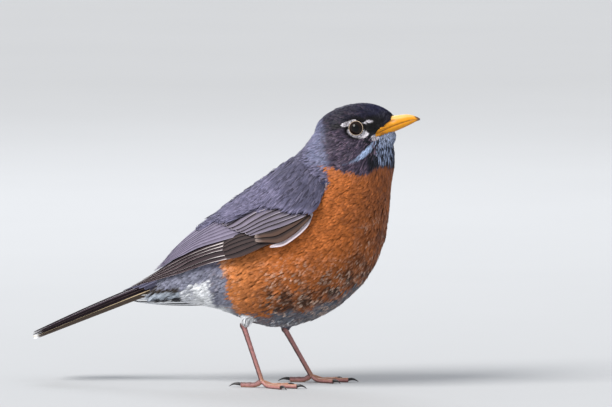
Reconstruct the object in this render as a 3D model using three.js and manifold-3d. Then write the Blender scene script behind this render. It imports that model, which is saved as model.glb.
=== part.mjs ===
// American robin (Turdus migratorius), an adult male standing alert, life size.
//
// Millimetres, +Z up, +X towards the bird's front and +Y towards its left. The origin is the
// centre of the bounding box's base, on the floor that the toes stand on.
//
// The trunk, neck and head are lofted whole and parted by thin cuts. Each wing and the tail are
// stacks of feather blades laid on a curved sheet. The right wing is modelled as the mirror
// image of the left one, and each leg has its own stance.

import * as THREE from "three";
import { mergeVertices } from "three/addons/utils/BufferGeometryUtils.js";
import Module from "manifold-3d";

const wasm = await Module();
wasm.setup();

const DEG = Math.PI / 180;

// ---------------------------------------------------------------- driving dimensions

const GAP = 0.3; // clearance between neighbouring pieces
const EYE_DIAMETER = 9.0; // the whole eyeball; about 7 mm of it shows
const FEATHER_THICKNESS = 0.6;
const FEATHER_STEP = 0.45; // how far a feather's edge stands above its neighbour
const FEATHER_LOBE = 0.07; // part of a feather's length in its blunt tip
const HEAD_YAW = -6 * DEG; // the head looks a little to the bird's right
const SIDES = { left: 1, right: -1 };

// Trunk and neck, from the tail's root to inside the head. Each station gives the point of the
// back and the point of the belly as [x, z], half the width, and how far the fullest part of the
// section lies below its middle (0 even, positive lower).
const TRUNK = [
  { name: "tail_root", back: [-83, 53.5], belly: [-84, 47.5], half: 5.5, low: 0 },
  { name: "vent_coverts", back: [-74, 59.5], belly: [-73, 44.8], half: 10, low: 0 },
  { name: "rump", back: [-63, 68.5], belly: [-58, 44.4], half: 14.5, low: 0.02 },
  { name: "vent", back: [-51, 79], belly: [-42, 42.3], half: 20, low: 0.04 },
  { name: "thighs", back: [-39, 90], belly: [-26, 37.4], half: 25, low: 0.06 },
  { name: "belly", back: [-27, 100.5], belly: [-9, 31.9], half: 28.8, low: 0.08 },
  { name: "keel", back: [-15, 111], belly: [9, 33.6], half: 30.8, low: 0.08 },
  { name: "breast", back: [-5.5, 118.6], belly: [28, 42.2], half: 31.2, low: 0.05 },
  { name: "shoulders", back: [2.5, 124.6], belly: [46.5, 59.6], half: 29.8, low: 0.02 },
  { name: "crop", back: [8.4, 129.6], belly: [55.6, 79], half: 26.4, low: 0 },
  { name: "lower_neck", back: [12.2, 133.4], belly: [58.4, 98], half: 21.6, low: 0 },
  { name: "upper_neck", back: [15.4, 137.8], belly: [59.8, 113], half: 17.6, low: 0 },
  { name: "throat", back: [20, 142.4], belly: [61.8, 125], half: 14.6, low: 0 },
  { name: "inside_head", back: [28, 146], belly: [60.4, 134.4], half: 10.5, low: 0 },
];

// Head, in its own axes: at runs forward from the eye, top and bottom are above and below it.
const HEAD = {
  eye: [41.2, 143.5],
  pitch: 12 * DEG,
  neckPivot: [30, 0],
  eyeball: { at: 1.6, aside: 8, above: -1.1 },
  stations: [
    { name: "occiput", at: -24.2, top: 3.5, bottom: -5.5, half: 3.5 },
    { name: "nape", at: -21, top: 7, bottom: -11, half: 8.2 },
    { name: "hind_crown", at: -15, top: 10.4, bottom: -15.5, half: 11.4 },
    { name: "ear_coverts", at: -8, top: 12.2, bottom: -17, half: 12.7 },
    { name: "eye", at: 0, top: 12.4, bottom: -17.2, half: 12 },
    { name: "fore_crown", at: 6, top: 11.8, bottom: -17.2, half: 9.6 },
    { name: "lores", at: 11, top: 10.2, bottom: -17, half: 7.4 },
    { name: "forehead", at: 15, top: 8, bottom: -16.2, half: 5.7 },
    { name: "chin", at: 18.5, top: 5.2, bottom: -13.4, half: 4 },
    { name: "brow", at: 20.6, top: 2.9, bottom: -9.6, half: 2.4 },
  ],
};

// Bill, in the head's axes. The upper and lower mandibles meet at the cutting edge.
const BILL = {
  fullness: 0.8, // below 1 the sides stand fuller than an ellipse
  stations: [
    { name: "gape", at: 9, ridge: 0.6, edge: -6.9, keel: -9.2, half: 6.8 },
    { name: "base", at: 13, ridge: 1.4, edge: -5.8, keel: -8.5, half: 5.9 },
    { name: "nostril", at: 18, ridge: 1.7, edge: -4.4, keel: -7.5, half: 4.5 },
    { name: "middle", at: 24, ridge: 1.4, edge: -3.3, keel: -6.3, half: 3.3 },
    { name: "fore", at: 29.5, ridge: 0.7, edge: -2.7, keel: -5, half: 2.3 },
    { name: "hook", at: 33, ridge: -0.8, edge: -2.8, keel: -4, half: 1.4 },
    { name: "tip", at: 35.5, ridge: -2.5, edge: -3.1, keel: -3.6, half: 0.7 },
  ],
};

// Folded left wing: its lower and upper edges from the bend to the tip as [x, y, z], and how
// far the wing bulges out between them.
const WING = {
  lower: [
    [29.4, 23.5, 112.4],
    [21.2, 30.6, 95.2],
    [7.8, 33, 81.6],
    [-3, 33.4, 78.2],
    [-18.7, 31, 72.8],
    [-30.8, 27.2, 69.6],
    [-43.1, 22, 65.6],
    [-55.4, 17, 62.2],
    [-73.5, 10.4, 57],
    [-87, 6.4, 52.8],
  ],
  upper: [
    [9, 11, 128.4],
    [-5, 9, 119.3],
    [-18, 7.5, 109.5],
    [-30.5, 6, 100],
    [-44, 5, 90],
    [-54, 4.4, 81.6],
    [-63, 4, 72.8],
    [-70, 4, 65.6],
    [-79, 4.2, 58.6],
    [-88.4, 5, 53.4],
  ],
  bulge: [2.6, 5, 6.6, 7.2, 6.4, 5.2, 3.8, 2.4, 1.2, 0.4],
};

// Feather groups of a folded wing. Places on its sheet are [along, across]: along runs from the
// bend (0) to the tip (1), across from the lower edge (0) to the upper one (1). Each group lists
// places along the line of its roots and along the line of its tips, from its lowest feather to
// its highest, and how far its surface stands off the sheet at its roots and at its tips.
const FEATHERS = {
  primaries: {
    count: 7,
    roots: [[0.42, 0.02], [0.42, 0.22], [0.43, 0.42]],
    tips: [[1, 0.12], [0.93, 0.26], [0.8, 0.5]],
    lift: [0.2, 0.2],
  },
  primary_coverts: {
    count: 3,
    roots: [[0.37, 0.03], [0.37, 0.18], [0.37, 0.33]],
    tips: [[0.56, 0.03], [0.56, 0.16], [0.53, 0.34]],
    lift: [1.6, 1.6],
  },
  secondaries: {
    count: 6,
    roots: [[0.375, 0.36], [0.4, 0.58], [0.49, 0.78], [0.525, 0.96]],
    tips: [[0.8, 0.47], [0.77, 0.62], [0.71, 0.84], [0.62, 0.98]],
    lift: [1.6, 1.6],
  },
  greater_coverts: {
    count: 6,
    roots: [[0.14, 0.15], [0.2, 0.29], [0.28, 0.43], [0.39, 0.62]],
    tips: [[0.42, 0.24], [0.42, 0.38], [0.44, 0.53], [0.48, 0.68]],
    lift: [3, 3],
  },
  alula: {
    count: 2,
    roots: [[0.1, 0.02], [0.12, 0.08], [0.13, 0.13]],
    tips: [[0.42, 0.02], [0.43, 0.1], [0.42, 0.19]],
    lift: [1.6, 3.1],
  },
};

// Shoulder shell of lesser coverts and scapulars: its lower border climbs across the sheet.
const SHOULDER = {
  end: 0.5,
  depth: 9,
  border: [0, 0.05, 0.24, 0.4, 0.55, 0.7, 0.84],
  lift: [0.2, 2.4, 3.4, 3.6, 3.6, 3.2, 2.4],
};

// Tail: twelve feathers, the central pair uppermost, the outer ones lower like a shallow roof.
const TAIL = {
  pairs: 6,
  rootX: -70,
  tipX: -141.5,
  outerTipX: -138.5,
  ridge: [58.5, 26.6], // height of the central pair at root and tip
  sag: 1.2,
  eaves: [7.5, 2.6], // how much lower the outer edges lie, at root and tip
  half: [6.5, 13], // half the width at root and tip
  room: [30, 24, 16], // box cut out of the rump for the quills
};

// Legs: heel joint and toe joint as [x, y, z]. The right leg is drawn back, the left one is a
// short step ahead.
const LEGS = {
  right: { hip: [-13, -13, 47], heel: [-20.4, -13.4, 33.2], foot: [-9.2, -17.6, 3.4], turn: -4 },
  left: { hip: [3, 12, 44], heel: [-2.4, 11, 29.6], foot: [10.6, 19.6, 3.4], turn: 6 },
};

// Radii down the thigh and down the tarsus, and where between its joints each one holds.
const THIGH = { radii: [8.5, 4.6, 2.4], at: [0, 0.55, 1] };
const TARSUS = { radii: [1.96, 1.45, 1.34, 1.74], at: [0, 0.12, 0.88, 1] };

// A toe leaves the joint at this distance and height, and its middle lies a little below its
// own radius, so that its underside is flat on the floor.
const TOE = { radius: 1.35, leaves: [1.2, 3], knuckle: 0.4, sunk: 0.9, taper: [1, 1, 0.85] };
const CLAW = { taper: [0.72, 0.5], tipRadius: 0.22, arch: 0.5, tipHeight: 0.35 };

// Toes: bearing from straight ahead (outwards positive), length of the toe and of its claw, and
// thickness against the middle toe's.
const TOES = {
  hallux: { bearing: 178, length: 11.5, claw: 7.2, radius: 1.12 },
  inner: { bearing: -30, length: 14.5, claw: 5.2, radius: 0.95 },
  middle: { bearing: 3, length: 20, claw: 6, radius: 1 },
  outer: { bearing: 33, length: 15.5, claw: 5, radius: 0.92 },
};

// Thin cuts that part the body, each through a point [x, z] along a direction in the midplane.
const CUTS = {
  head: { through: [38, 132.2], along: [46, -14.2] },
  neck: { through: [30, 117], along: [54, -32] },
  rump: { through: [-45, 60], along: [9, -35] },
};

const COLOURS = {
  black: [0x23222a, 0.8],
  slate: [0x5d5c68, 0.85],
  rust: [0xb5622a, 0.85],
  vent: [0xd8d8dc, 0.9],
  brown: [0x4a4144, 0.7],
  bill: [0xe3a32c, 0.45],
  eye: [0x120c0a, 0.08],
  leg: [0x8a5a4c, 0.6],
  claw: [0x2c2523, 0.5],
};

// ---------------------------------------------------------------- solids and lofts

const materials = Object.fromEntries(
  Object.entries(COLOURS).map(([name, [color, roughness]]) => [
    name,
    new THREE.MeshStandardMaterial({ name, color, roughness, metalness: 0 }),
  ]),
);

// A closed skin through rings of points, all with the same count, with a cap on each end.
function loftGeometry(rings) {
  const count = rings[0].length;
  const points = rings.flat();
  const middle = (ring) =>
    ring.reduce((sum, p) => sum.add(p), new THREE.Vector3()).divideScalar(ring.length);
  const first = points.push(middle(rings[0])) - 1;
  const last = points.push(middle(rings.at(-1))) - 1;
  const end = (rings.length - 1) * count;
  const index = [];
  for (let k = 0; k < count; k++) {
    const next = (k + 1) % count;
    for (let r = 0; r < rings.length - 1; r++) {
      const a = r * count + k;
      const b = r * count + next;
      index.push(a, b, a + count, b, b + count, a + count);
    }
    index.push(first, next, k, last, end + k, end + next);
  }
  return new THREE.BufferGeometry().setFromPoints(points).setIndex(index);
}

// A three.js geometry as a solid for joining and cutting. One that is inside out is turned.
function solidOf(geometry) {
  const bare = new THREE.BufferGeometry();
  bare.setAttribute("position", geometry.getAttribute("position"));
  bare.setIndex(geometry.index);
  const merged = mergeVertices(bare, 1e-4);
  const triVerts = Uint32Array.from(merged.index.array);
  const build = () =>
    new wasm.Manifold(
      new wasm.Mesh({ numProp: 3, vertProperties: merged.attributes.position.array, triVerts }),
    );
  const solid = build();
  if (solid.volume() >= 0) return solid;
  for (let i = 0; i < triVerts.length; i += 3)
    [triVerts[i + 1], triVerts[i + 2]] = [triVerts[i + 2], triVerts[i + 1]];
  return build();
}

const loft = (rings) => solidOf(loftGeometry(rings));

// A closed slab between an outer and an inner grid of points, each of rows of equal length.
function slab(outer, inner) {
  const rows = outer.length;
  const columns = outer[0].length;
  const under = rows * columns;
  const index = [];
  const quad = (a, b, c, d) => index.push(a, b, c, a, c, d);
  for (let r = 0; r < rows - 1; r++)
    for (let c = 0; c < columns - 1; c++) {
      const at = r * columns + c;
      quad(at, at + 1, at + columns + 1, at + columns);
      quad(under + at, under + at + columns, under + at + columns + 1, under + at + 1);
    }
  for (let r = 0; r < rows - 1; r++)
    for (const [at, turn] of [[r * columns, 1], [r * columns + columns - 1, -1]]) {
      const wall = [at, at + columns, under + at + columns, under + at];
      quad(...(turn > 0 ? wall : wall.reverse()));
    }
  for (let c = 0; c < columns - 1; c++)
    for (const [at, turn] of [[c, -1], [(rows - 1) * columns + c, 1]]) {
      const wall = [at, at + 1, under + at + 1, under + at];
      quad(...(turn > 0 ? wall : wall.reverse()));
    }
  const points = [...outer.flat(), ...inner.flat()];
  return solidOf(new THREE.BufferGeometry().setFromPoints(points).setIndex(index));
}

const without = (solid, ...others) => others.reduce((left, cutter) => left.subtract(cutter), solid);

// The largest piece of a solid, without the crumbs that a cut leaves.
function largest(solid) {
  return solid.decompose().reduce((best, next) => (next.volume() > best.volume() ? next : best));
}

function geometryOf(solid) {
  const { numProp, numVert, vertProperties, triVerts } = solid.getMesh();
  const points = [];
  for (let i = 0; i < numVert; i++)
    points.push(new THREE.Vector3().fromArray(vertProperties, i * numProp));
  return new THREE.BufferGeometry().setFromPoints(points).setIndex([...triVerts]);
}

function mesh(name, solid, material) {
  const made = new THREE.Mesh(geometryOf(largest(solid)), materials[material]);
  made.name = name;
  made.geometry.computeVertexNormals();
  return made;
}

const mix = THREE.MathUtils.lerp;
const mixPair = ([a, b], t) => mix(a, b, t);
const vector = (p) => new THREE.Vector3(...p);

// A smooth curve through points whose parameter runs evenly over them.
const curve = (points) => new THREE.CatmullRomCurve3(points, false, "catmullrom", 0.5);
const valueCurve = (values) => curve(values.map((v) => new THREE.Vector3(v, 0, 0)));

// ---------------------------------------------------------------- trunk and neck

const TRUNK_RINGS = 21;
const RING_POINTS = 20;

const trunkCurves = {
  back: curve(TRUNK.map((s) => new THREE.Vector3(s.back[0], 0, s.back[1]))),
  belly: curve(TRUNK.map((s) => new THREE.Vector3(s.belly[0], 0, s.belly[1]))),
  half: valueCurve(TRUNK.map((s) => s.half)),
  low: valueCurve(TRUNK.map((s) => s.low)),
};

// One egg-shaped section between a point of the back and one of the belly.
function eggRing(back, belly, half, low, grow = 0) {
  const centre = back.clone().add(belly).multiplyScalar(0.5);
  const rise = back.clone().sub(centre);
  rise.setLength(rise.length() + grow);
  return Array.from({ length: RING_POINTS }, (_, k) => {
    const angle = (k / RING_POINTS) * 2 * Math.PI;
    const side = Math.sin(angle) * (half + grow) * (1 - low * 2 * Math.cos(angle));
    return centre
      .clone()
      .addScaledVector(rise, Math.cos(angle))
      .add(new THREE.Vector3(0, side, 0));
  });
}

function trunkSolid(grow = 0) {
  const rings = Array.from({ length: TRUNK_RINGS }, (_, i) => {
    const t = i / (TRUNK_RINGS - 1);
    const { back, belly, half, low } = trunkCurves;
    return eggRing(back.getPoint(t), belly.getPoint(t), half.getPoint(t).x, low.getPoint(t).x, grow);
  });
  return loft(rings);
}

// ---------------------------------------------------------------- head, bill and eyes

// From the head's own axes (at, aside, above) to the bird's, with the turn of the head.
function headPoint(at, aside, above) {
  const [x, z] = HEAD.eye;
  const ahead = Math.cos(HEAD.pitch) * at - Math.sin(HEAD.pitch) * above;
  const up = Math.sin(HEAD.pitch) * at + Math.cos(HEAD.pitch) * above;
  const pivot = new THREE.Vector3(...HEAD.neckPivot, 0);
  return new THREE.Vector3(x + ahead, aside, z + up)
    .sub(pivot)
    .applyAxisAngle(new THREE.Vector3(0, 0, 1), HEAD_YAW)
    .add(pivot);
}

const HEAD_RINGS = 11;

function headSolid() {
  const { stations } = HEAD;
  const profile = curve(stations.map((s) => new THREE.Vector3(s.at, s.top, s.bottom)));
  const width = valueCurve(stations.map((s) => s.half));
  const rings = Array.from({ length: HEAD_RINGS }, (_, i) => {
    const t = i / (HEAD_RINGS - 1);
    const { x: at, y: top, z: bottom } = profile.getPoint(t);
    const half = width.getPoint(t).x;
    const middle = (top + bottom) / 2;
    const tall = (top - bottom) / 2;
    return Array.from({ length: RING_POINTS }, (_, k) => {
      const angle = (k / RING_POINTS) * 2 * Math.PI;
      const aside = Math.sin(angle) * half;
      return headPoint(at, aside, middle + Math.cos(angle) * tall);
    });
  });
  return loft(rings);
}

const MANDIBLE_POINTS = 12;

// Half an almond: flat on the cutting edge, rounded over the ridge or under the keel. A grown
// one is the room that it takes in the head, and reaches past the cutting edge.
function mandibleSolid(outer, grow = 0) {
  const away = outer === "ridge" ? 1 : -1;
  const clear = grow > 0 ? -grow : GAP / 2;
  const rings = BILL.stations.map((s, i) =>
    Array.from({ length: MANDIBLE_POINTS }, (_, k) => {
      const angle = (k / (MANDIBLE_POINTS - 1)) * Math.PI;
      const base = s.edge + away * clear;
      const tall = s[outer] + away * grow - base;
      const above = base + tall * Math.sin(angle) ** BILL.fullness;
      return headPoint(s.at - (i ? 0 : grow), Math.cos(angle) * (s.half + grow), above);
    }),
  );
  return loft(rings);
}

function eyeCentre(side) {
  const { at, aside, above } = HEAD.eyeball;
  return headPoint(at, side * aside, above);
}

function ball(centre, radius) {
  const sphere = new THREE.SphereGeometry(radius, 12, 8);
  return solidOf(sphere.translate(...centre.toArray()));
}

// ---------------------------------------------------------------- wings

const wingCurves = {
  lower: curve(WING.lower.map(vector)),
  upper: curve(WING.upper.map(vector)),
  bulge: valueCurve(WING.bulge),
};

// A point that stands off the wing's sheet.
function wingPoint(along, across, lift = 0) {
  const place = (s, t) => {
    const low = wingCurves.lower.getPoint(s);
    const high = wingCurves.upper.getPoint(s);
    const axis = wingCurves.lower.getTangent(s).add(wingCurves.upper.getTangent(s));
    const out = axis.cross(high.clone().sub(low)).normalize();
    const bulge = wingCurves.bulge.getPoint(s).x * 4 * t * (1 - t);
    return low.lerp(high, t).addScaledVector(out, bulge);
  };
  const step = 0.01;
  const s = THREE.MathUtils.clamp(along, step, 1 - step);
  const alongWing = place(s + step, across).sub(place(s - step, across));
  const acrossWing = place(s, across + step).sub(place(s, across - step));
  const normal = alongWing.cross(acrossWing).normalize();
  return place(along, across).addScaledVector(normal, lift);
}

const FAN_ROWS = 5;

// Feathers side by side on the wing's sheet. The lower edge of each stands above the one below
// it, and each ends in a blunt lobe.
function featherFan({ count, roots, tips, lift }) {
  const place = ([s, t]) => new THREE.Vector3(s, t, 0);
  const rootLine = curve(roots.map(place));
  const tipLine = curve(tips.map(place));
  const outer = [];
  const inner = [];
  for (let i = 0; i <= FAN_ROWS; i++) {
    const columns = [];
    for (let k = 0; k < count; k++)
      for (const part of [0, 0.5, 1]) {
        const across = (k + part) / count;
        const reach = (i / FAN_ROWS) * (part === 0.5 ? 1 : 1 - FEATHER_LOBE);
        const at = rootLine.getPoint(across).lerp(tipLine.getPoint(across), reach);
        columns.push([at.x, at.y, mixPair(lift, reach), FEATHER_STEP * (1 - part)]);
      }
    outer.push(columns.map(([s, t, height, step]) => wingPoint(s, t, height + step)));
    inner.push(columns.map(([s, t, height]) => wingPoint(s, t, height - FEATHER_THICKNESS)));
  }
  return slab(outer, inner);
}

const SHOULDER_ROWS = 6;
const SHOULDER_COLUMNS = 5;

// The smooth shell of small feathers over the shoulder, deep enough to reach into the trunk.
function shoulderSolid() {
  const border = valueCurve(SHOULDER.border);
  const lift = valueCurve(SHOULDER.lift);
  const outer = [];
  const inner = [];
  for (let i = 0; i <= SHOULDER_ROWS; i++) {
    const t = i / SHOULDER_ROWS;
    const rise = lift.getPoint(t).x;
    const across = Array.from({ length: SHOULDER_COLUMNS + 1 }, (_, k) =>
      mix(border.getPoint(t).x, 1, k / SHOULDER_COLUMNS),
    );
    const rounded = (k) => Math.sin(Math.PI * mix(0.2, 0.85, k / SHOULDER_COLUMNS)) ** 0.5;
    outer.push(across.map((a, k) => wingPoint(t * SHOULDER.end, a, rise * rounded(k))));
    inner.push(across.map((a) => wingPoint(t * SHOULDER.end, a, -SHOULDER.depth)));
  }
  return slab(outer, inner);
}

function wingSolids() {
  const trunk = trunkSolid(GAP);
  const fan = (group) => featherFan(FEATHERS[group]);
  return {
    shoulder: without(shoulderSolid(), trunk),
    greater_coverts: fan("greater_coverts"),
    alula: fan("alula"),
    primary_coverts: fan("primary_coverts"),
    secondaries: without(fan("secondaries"), trunk),
    primaries: without(fan("primaries"), trunk),
  };
}

// ---------------------------------------------------------------- tail

const TAIL_ROWS = 5;

// The folded tail as one slab, from the left edge to the right one. Each feather's outer edge
// stands above the next feather outwards.
function tailSolid() {
  const outer = [];
  const inner = [];
  for (let i = 0; i <= TAIL_ROWS; i++) {
    const row = [];
    for (let k = -TAIL.pairs; k < TAIL.pairs; k++)
      for (const part of [0, 0.5, 1]) {
        const across = (k + part) / TAIL.pairs;
        const out = Math.abs(across);
        const reach = (i / TAIL_ROWS) * (part === 0.5 ? 1 : 1 - FEATHER_LOBE / 2);
        const end = mix(TAIL.tipX, TAIL.outerTipX, out ** 2);
        const outwards = k < 0 ? 1 - part : part;
        const height = mixPair(TAIL.ridge, reach) - mixPair(TAIL.eaves, reach) * out ** 1.3;
        const sag = TAIL.sag * Math.sin(Math.PI * reach);
        const y = across * mixPair(TAIL.half, reach);
        const z = height - sag + FEATHER_STEP * outwards;
        row.push(new THREE.Vector3(mix(TAIL.rootX, end, reach), y, z));
      }
    outer.push(row);
    inner.push(row.map((p) => p.clone().setZ(p.z - FEATHER_THICKNESS - FEATHER_STEP)));
  }
  return slab(outer, inner);
}

// ---------------------------------------------------------------- legs

const LIMB_POINTS = 8;

// A limb of round section along points, each with its own radius.
function limb(points, radii, grow = 0) {
  const path = curve(points);
  const size = valueCurve(radii);
  const steps = (points.length - 1) * 2;
  const rings = [];
  const side = new THREE.Vector3(0, 1, 0);
  for (let i = 0; i <= steps; i++) {
    const t = i / steps;
    const along = path.getTangent(t);
    const across = side.clone().addScaledVector(along, -side.dot(along)).normalize();
    const up = along.clone().cross(across);
    const radius = size.getPoint(t).x + grow;
    rings.push(
      Array.from({ length: LIMB_POINTS }, (_, k) => {
        const angle = (k / LIMB_POINTS) * 2 * Math.PI;
        return path
          .getPoint(t)
          .addScaledVector(across, radius * Math.cos(angle))
          .addScaledVector(up, radius * Math.sin(angle));
      }),
    );
  }
  return loft(rings);
}

const aboveFloor = (solid) => solid.trimByPlane([0, 0, 1], 0);

// The thigh or the tarsus, from the joint above it to the one below.
function shankSolid(top, low, { radii, at }, grow = 0) {
  const points = at.map((t) => vector(top).lerp(vector(low), t));
  return limb(points, radii, grow);
}

// A toe leaves the foot's joint, comes down to the floor and lies along it, and its claw arches
// on from its end.
function toeParts(leg, side, toe, grow = 0) {
  const bearing = (side * toe.bearing + leg.turn) * DEG;
  const ahead = new THREE.Vector3(Math.cos(bearing), Math.sin(bearing), 0);
  const at = (distance, height) => vector(leg.foot).addScaledVector(ahead, distance).setZ(height);
  const radius = TOE.radius * toe.radius;
  const rest = radius * TOE.sunk;
  const end = toe.length;
  const toePoints = [at(...TOE.leaves), at(end * TOE.knuckle, rest), at(end, rest)];
  const clawPoints = [
    at(end + GAP, rest),
    at(end + toe.claw / 2, rest + CLAW.arch),
    at(end + toe.claw, CLAW.tipHeight),
  ];
  const clawRadii = [...CLAW.taper.map((share) => share * radius), CLAW.tipRadius];
  return {
    toe: aboveFloor(limb(toePoints, TOE.taper.map((share) => share * radius), grow)),
    claw: aboveFloor(limb(clawPoints, clawRadii)),
  };
}

const THIGH_FINISH = { left: "slate", right: "vent" };

function legMeshes(name) {
  const leg = LEGS[name];
  const tarsusRoom = shankSolid(leg.heel, leg.foot, TARSUS, GAP);
  const thigh = without(shankSolid(leg.hip, leg.heel, THIGH), trunkSolid(GAP), tarsusRoom);
  const tarsus = aboveFloor(shankSolid(leg.heel, leg.foot, TARSUS));
  const meshes = [
    mesh(`thigh_${name}`, thigh, THIGH_FINISH[name]),
    mesh(`tarsus_${name}`, tarsus, "leg"),
  ];
  const taken = [tarsusRoom];
  for (const [toeName, toe] of Object.entries(TOES)) {
    const parts = toeParts(leg, SIDES[name], toe);
    meshes.push(mesh(`toe_${toeName}_${name}`, without(parts.toe, ...taken), "leg"));
    meshes.push(mesh(`claw_${toeName}_${name}`, parts.claw, "claw"));
    taken.push(toeParts(leg, SIDES[name], toe, GAP).toe);
  }
  return meshes;
}

// ---------------------------------------------------------------- assembly

// The two sides of a thin cut across the body, in the midplane's direction.
function cutApart(solid, { through, along }) {
  const normal = new THREE.Vector3(-along[1], 0, along[0]).normalize();
  const offset = normal.x * through[0] + normal.z * through[1];
  const n = normal.toArray();
  const back = normal.clone().negate().toArray();
  return {
    front: solid.trimByPlane(n, offset + GAP / 2),
    rear: solid.trimByPlane(back, -offset + GAP / 2),
  };
}

function bodyMeshes() {
  const eyes = Object.fromEntries(
    Object.entries(SIDES).map(([name, side]) => [name, eyeCentre(side)]),
  );
  const sockets = Object.values(eyes).map((centre) => ball(centre, EYE_DIAMETER / 2 + GAP));
  const billRoom = [mandibleSolid("ridge", GAP), mandibleSolid("keel", GAP)];
  const whole = trunkSolid().add(headSolid());
  const upper = cutApart(whole, CUTS.head);
  const middle = cutApart(upper.rear, CUTS.neck);
  const lower = cutApart(middle.rear, CUTS.rump);
  const meshes = [
    mesh("head", without(upper.front, ...sockets, ...billRoom), "black"),
    mesh("neck", middle.front, "slate"),
    mesh("trunk", lower.front, "rust"),
    mesh("rump", without(lower.rear, tailRoom()), "vent"),
    mesh("bill_upper", mandibleSolid("ridge"), "bill"),
    mesh("bill_lower", mandibleSolid("keel"), "bill"),
  ];
  for (const [name, centre] of Object.entries(eyes))
    meshes.push(mesh(`eye_${name}`, ball(centre, EYE_DIAMETER / 2), "eye"));
  return meshes;
}

// Room in the rump for the tail's quills.
function tailRoom() {
  const [length, width, height] = TAIL.room;
  const box = new THREE.BoxGeometry(length, width, height);
  return solidOf(box.translate(TAIL.rootX + GAP - length / 2, 0, TAIL.ridge[0] - height / 2));
}

const WING_FINISHES = {
  shoulder: "slate",
  greater_coverts: "slate",
  alula: "brown",
  primary_coverts: "brown",
  secondaries: "brown",
  primaries: "brown",
};

function wingMeshes() {
  const meshes = [];
  for (const [group, solid] of Object.entries(wingSolids()))
    for (const [name, side] of Object.entries(SIDES)) {
      const made = mesh(`wing_${group}_${name}`, solid, WING_FINISHES[group]);
      made.scale.y = side;
      meshes.push(made);
    }
  return meshes;
}

const robin = new THREE.Group();
robin.name = "american_robin";
robin.add(...bodyMeshes(), ...wingMeshes(), ...legMeshes("left"), ...legMeshes("right"));
robin.add(mesh("tail", tailSolid(), "brown"));

// The origin is the middle of the bounding box's base.
const box = new THREE.Box3().setFromObject(robin);
const middle = box.getCenter(new THREE.Vector3());
robin.position.set(-middle.x, -middle.y, -box.min.z);

export default robin;
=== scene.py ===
"""American robin, an adult male standing alert, life size: its skin, plumage, bill, eyes and legs.

Shapes are worked out in millimetres on the bird's own axes (+X forward, +Y its left, +Z up from
the floor), and make_mesh() puts them into the frame in metres. The skin is one closed mesh under
the coat; small feathers are closed blades rooted on it; wing and tail feathers are closed vanes.
"""

import math
from types import SimpleNamespace
import bmesh
import bpy
import numpy as np
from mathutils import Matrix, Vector
from mathutils.bvhtree import BVHTree
from mathutils.kdtree import KDTree


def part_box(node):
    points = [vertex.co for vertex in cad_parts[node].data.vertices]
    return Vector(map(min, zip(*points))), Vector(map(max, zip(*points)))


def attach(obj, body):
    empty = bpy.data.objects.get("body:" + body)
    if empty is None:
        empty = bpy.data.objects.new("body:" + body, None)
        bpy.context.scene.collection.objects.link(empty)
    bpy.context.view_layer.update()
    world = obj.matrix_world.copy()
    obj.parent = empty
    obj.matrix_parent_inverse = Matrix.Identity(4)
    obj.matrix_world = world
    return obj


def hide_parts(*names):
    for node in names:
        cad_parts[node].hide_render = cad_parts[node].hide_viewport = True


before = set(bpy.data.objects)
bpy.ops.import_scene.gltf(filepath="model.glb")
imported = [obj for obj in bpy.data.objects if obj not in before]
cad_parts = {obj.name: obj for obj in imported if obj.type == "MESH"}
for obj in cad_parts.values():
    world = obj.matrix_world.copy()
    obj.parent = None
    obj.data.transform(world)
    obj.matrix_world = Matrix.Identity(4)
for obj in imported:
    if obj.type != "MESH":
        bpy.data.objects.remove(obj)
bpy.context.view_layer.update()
rng = np.random.default_rng(11)

# -------- dimensions, in millimetres

MM = 0.001  # a millimetre in the frame's metres
PER_METRE = 1000
SIDES = {"left": 1, "right": -1}
TAIL_TIP_X = -141.5  # where the tail ends on the bird's own axes
tail_low, tail_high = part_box("tail")
SHIFT = np.array([tail_low.x * PER_METRE - TAIL_TIP_X, (tail_low.y + tail_high.y) * PER_METRE / 2, 0.0])

# The head's axes: at runs forward, aside to the bird's left and above upwards.
HEAD_ORIGIN = (41.2, 143.5)  # their origin's x and z
HEAD_PITCH = math.radians(12)
HEAD_YAW = math.radians(-6)
HEAD_TURN_X = 30.0  # where the upright line stands that the head turns about

EYE_RADIUS = 4.5
EYE_RIM = 3.85  # radius of the bare rim round it
EYE_PLACE = (1.6, 8.0, -1.1)  # the left eye in the head's axes
EYE_LOOK = (0.14, 1.0, 0.04)  # the way that it faces, in the head's axes
EYE_OPENING = 4.0  # radius that the lids leave open
EYE_BOWL = 7.5  # radius of the shallow bowl that it lies in
HEAD_STATIONS = [  # at, top, bottom, half width
    (-24.2, 3.5, -5.5, 3.5), (-21, 7, -11, 8.2), (-15, 10.4, -15.5, 11.4),
    (-8, 12.2, -17, 12.7), (0, 12.4, -17.2, 12), (6, 11.8, -17.2, 9.6),
    (11, 10.2, -17, 7.4), (15, 8, -16.2, 5.7), (18.5, 5.2, -13.4, 4),
    (20.6, 2.9, -9.6, 2.4),
]
BILL_STATIONS = [  # at, ridge, edge, keel, half width
    (9, 0.6, -6.9, -9.2, 6.8), (13, 1.4, -5.8, -8.5, 5.9), (18, 1.7, -4.4, -7.5, 4.5),
    (24, 1.4, -3.3, -6.3, 3.3), (29.5, 0.7, -2.7, -5, 2.3), (33, -0.8, -2.8, -4, 1.4),
    (35.5, -2.5, -3.1, -3.6, 0.7),
]
# Where the feathers stop over the bill: at, above.
BILL_FEATHER_LINE = [
    (10.2, -7.4), (10.9, -6.3), (12.6, -4.6), (15.4, -3.0),
    (18, -1.9), (19.4, -1.0), (20.2, 0.2), (20.6, 2.2),
]
NOSTRIL = (20.9, -1.0)  # at, above

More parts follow.
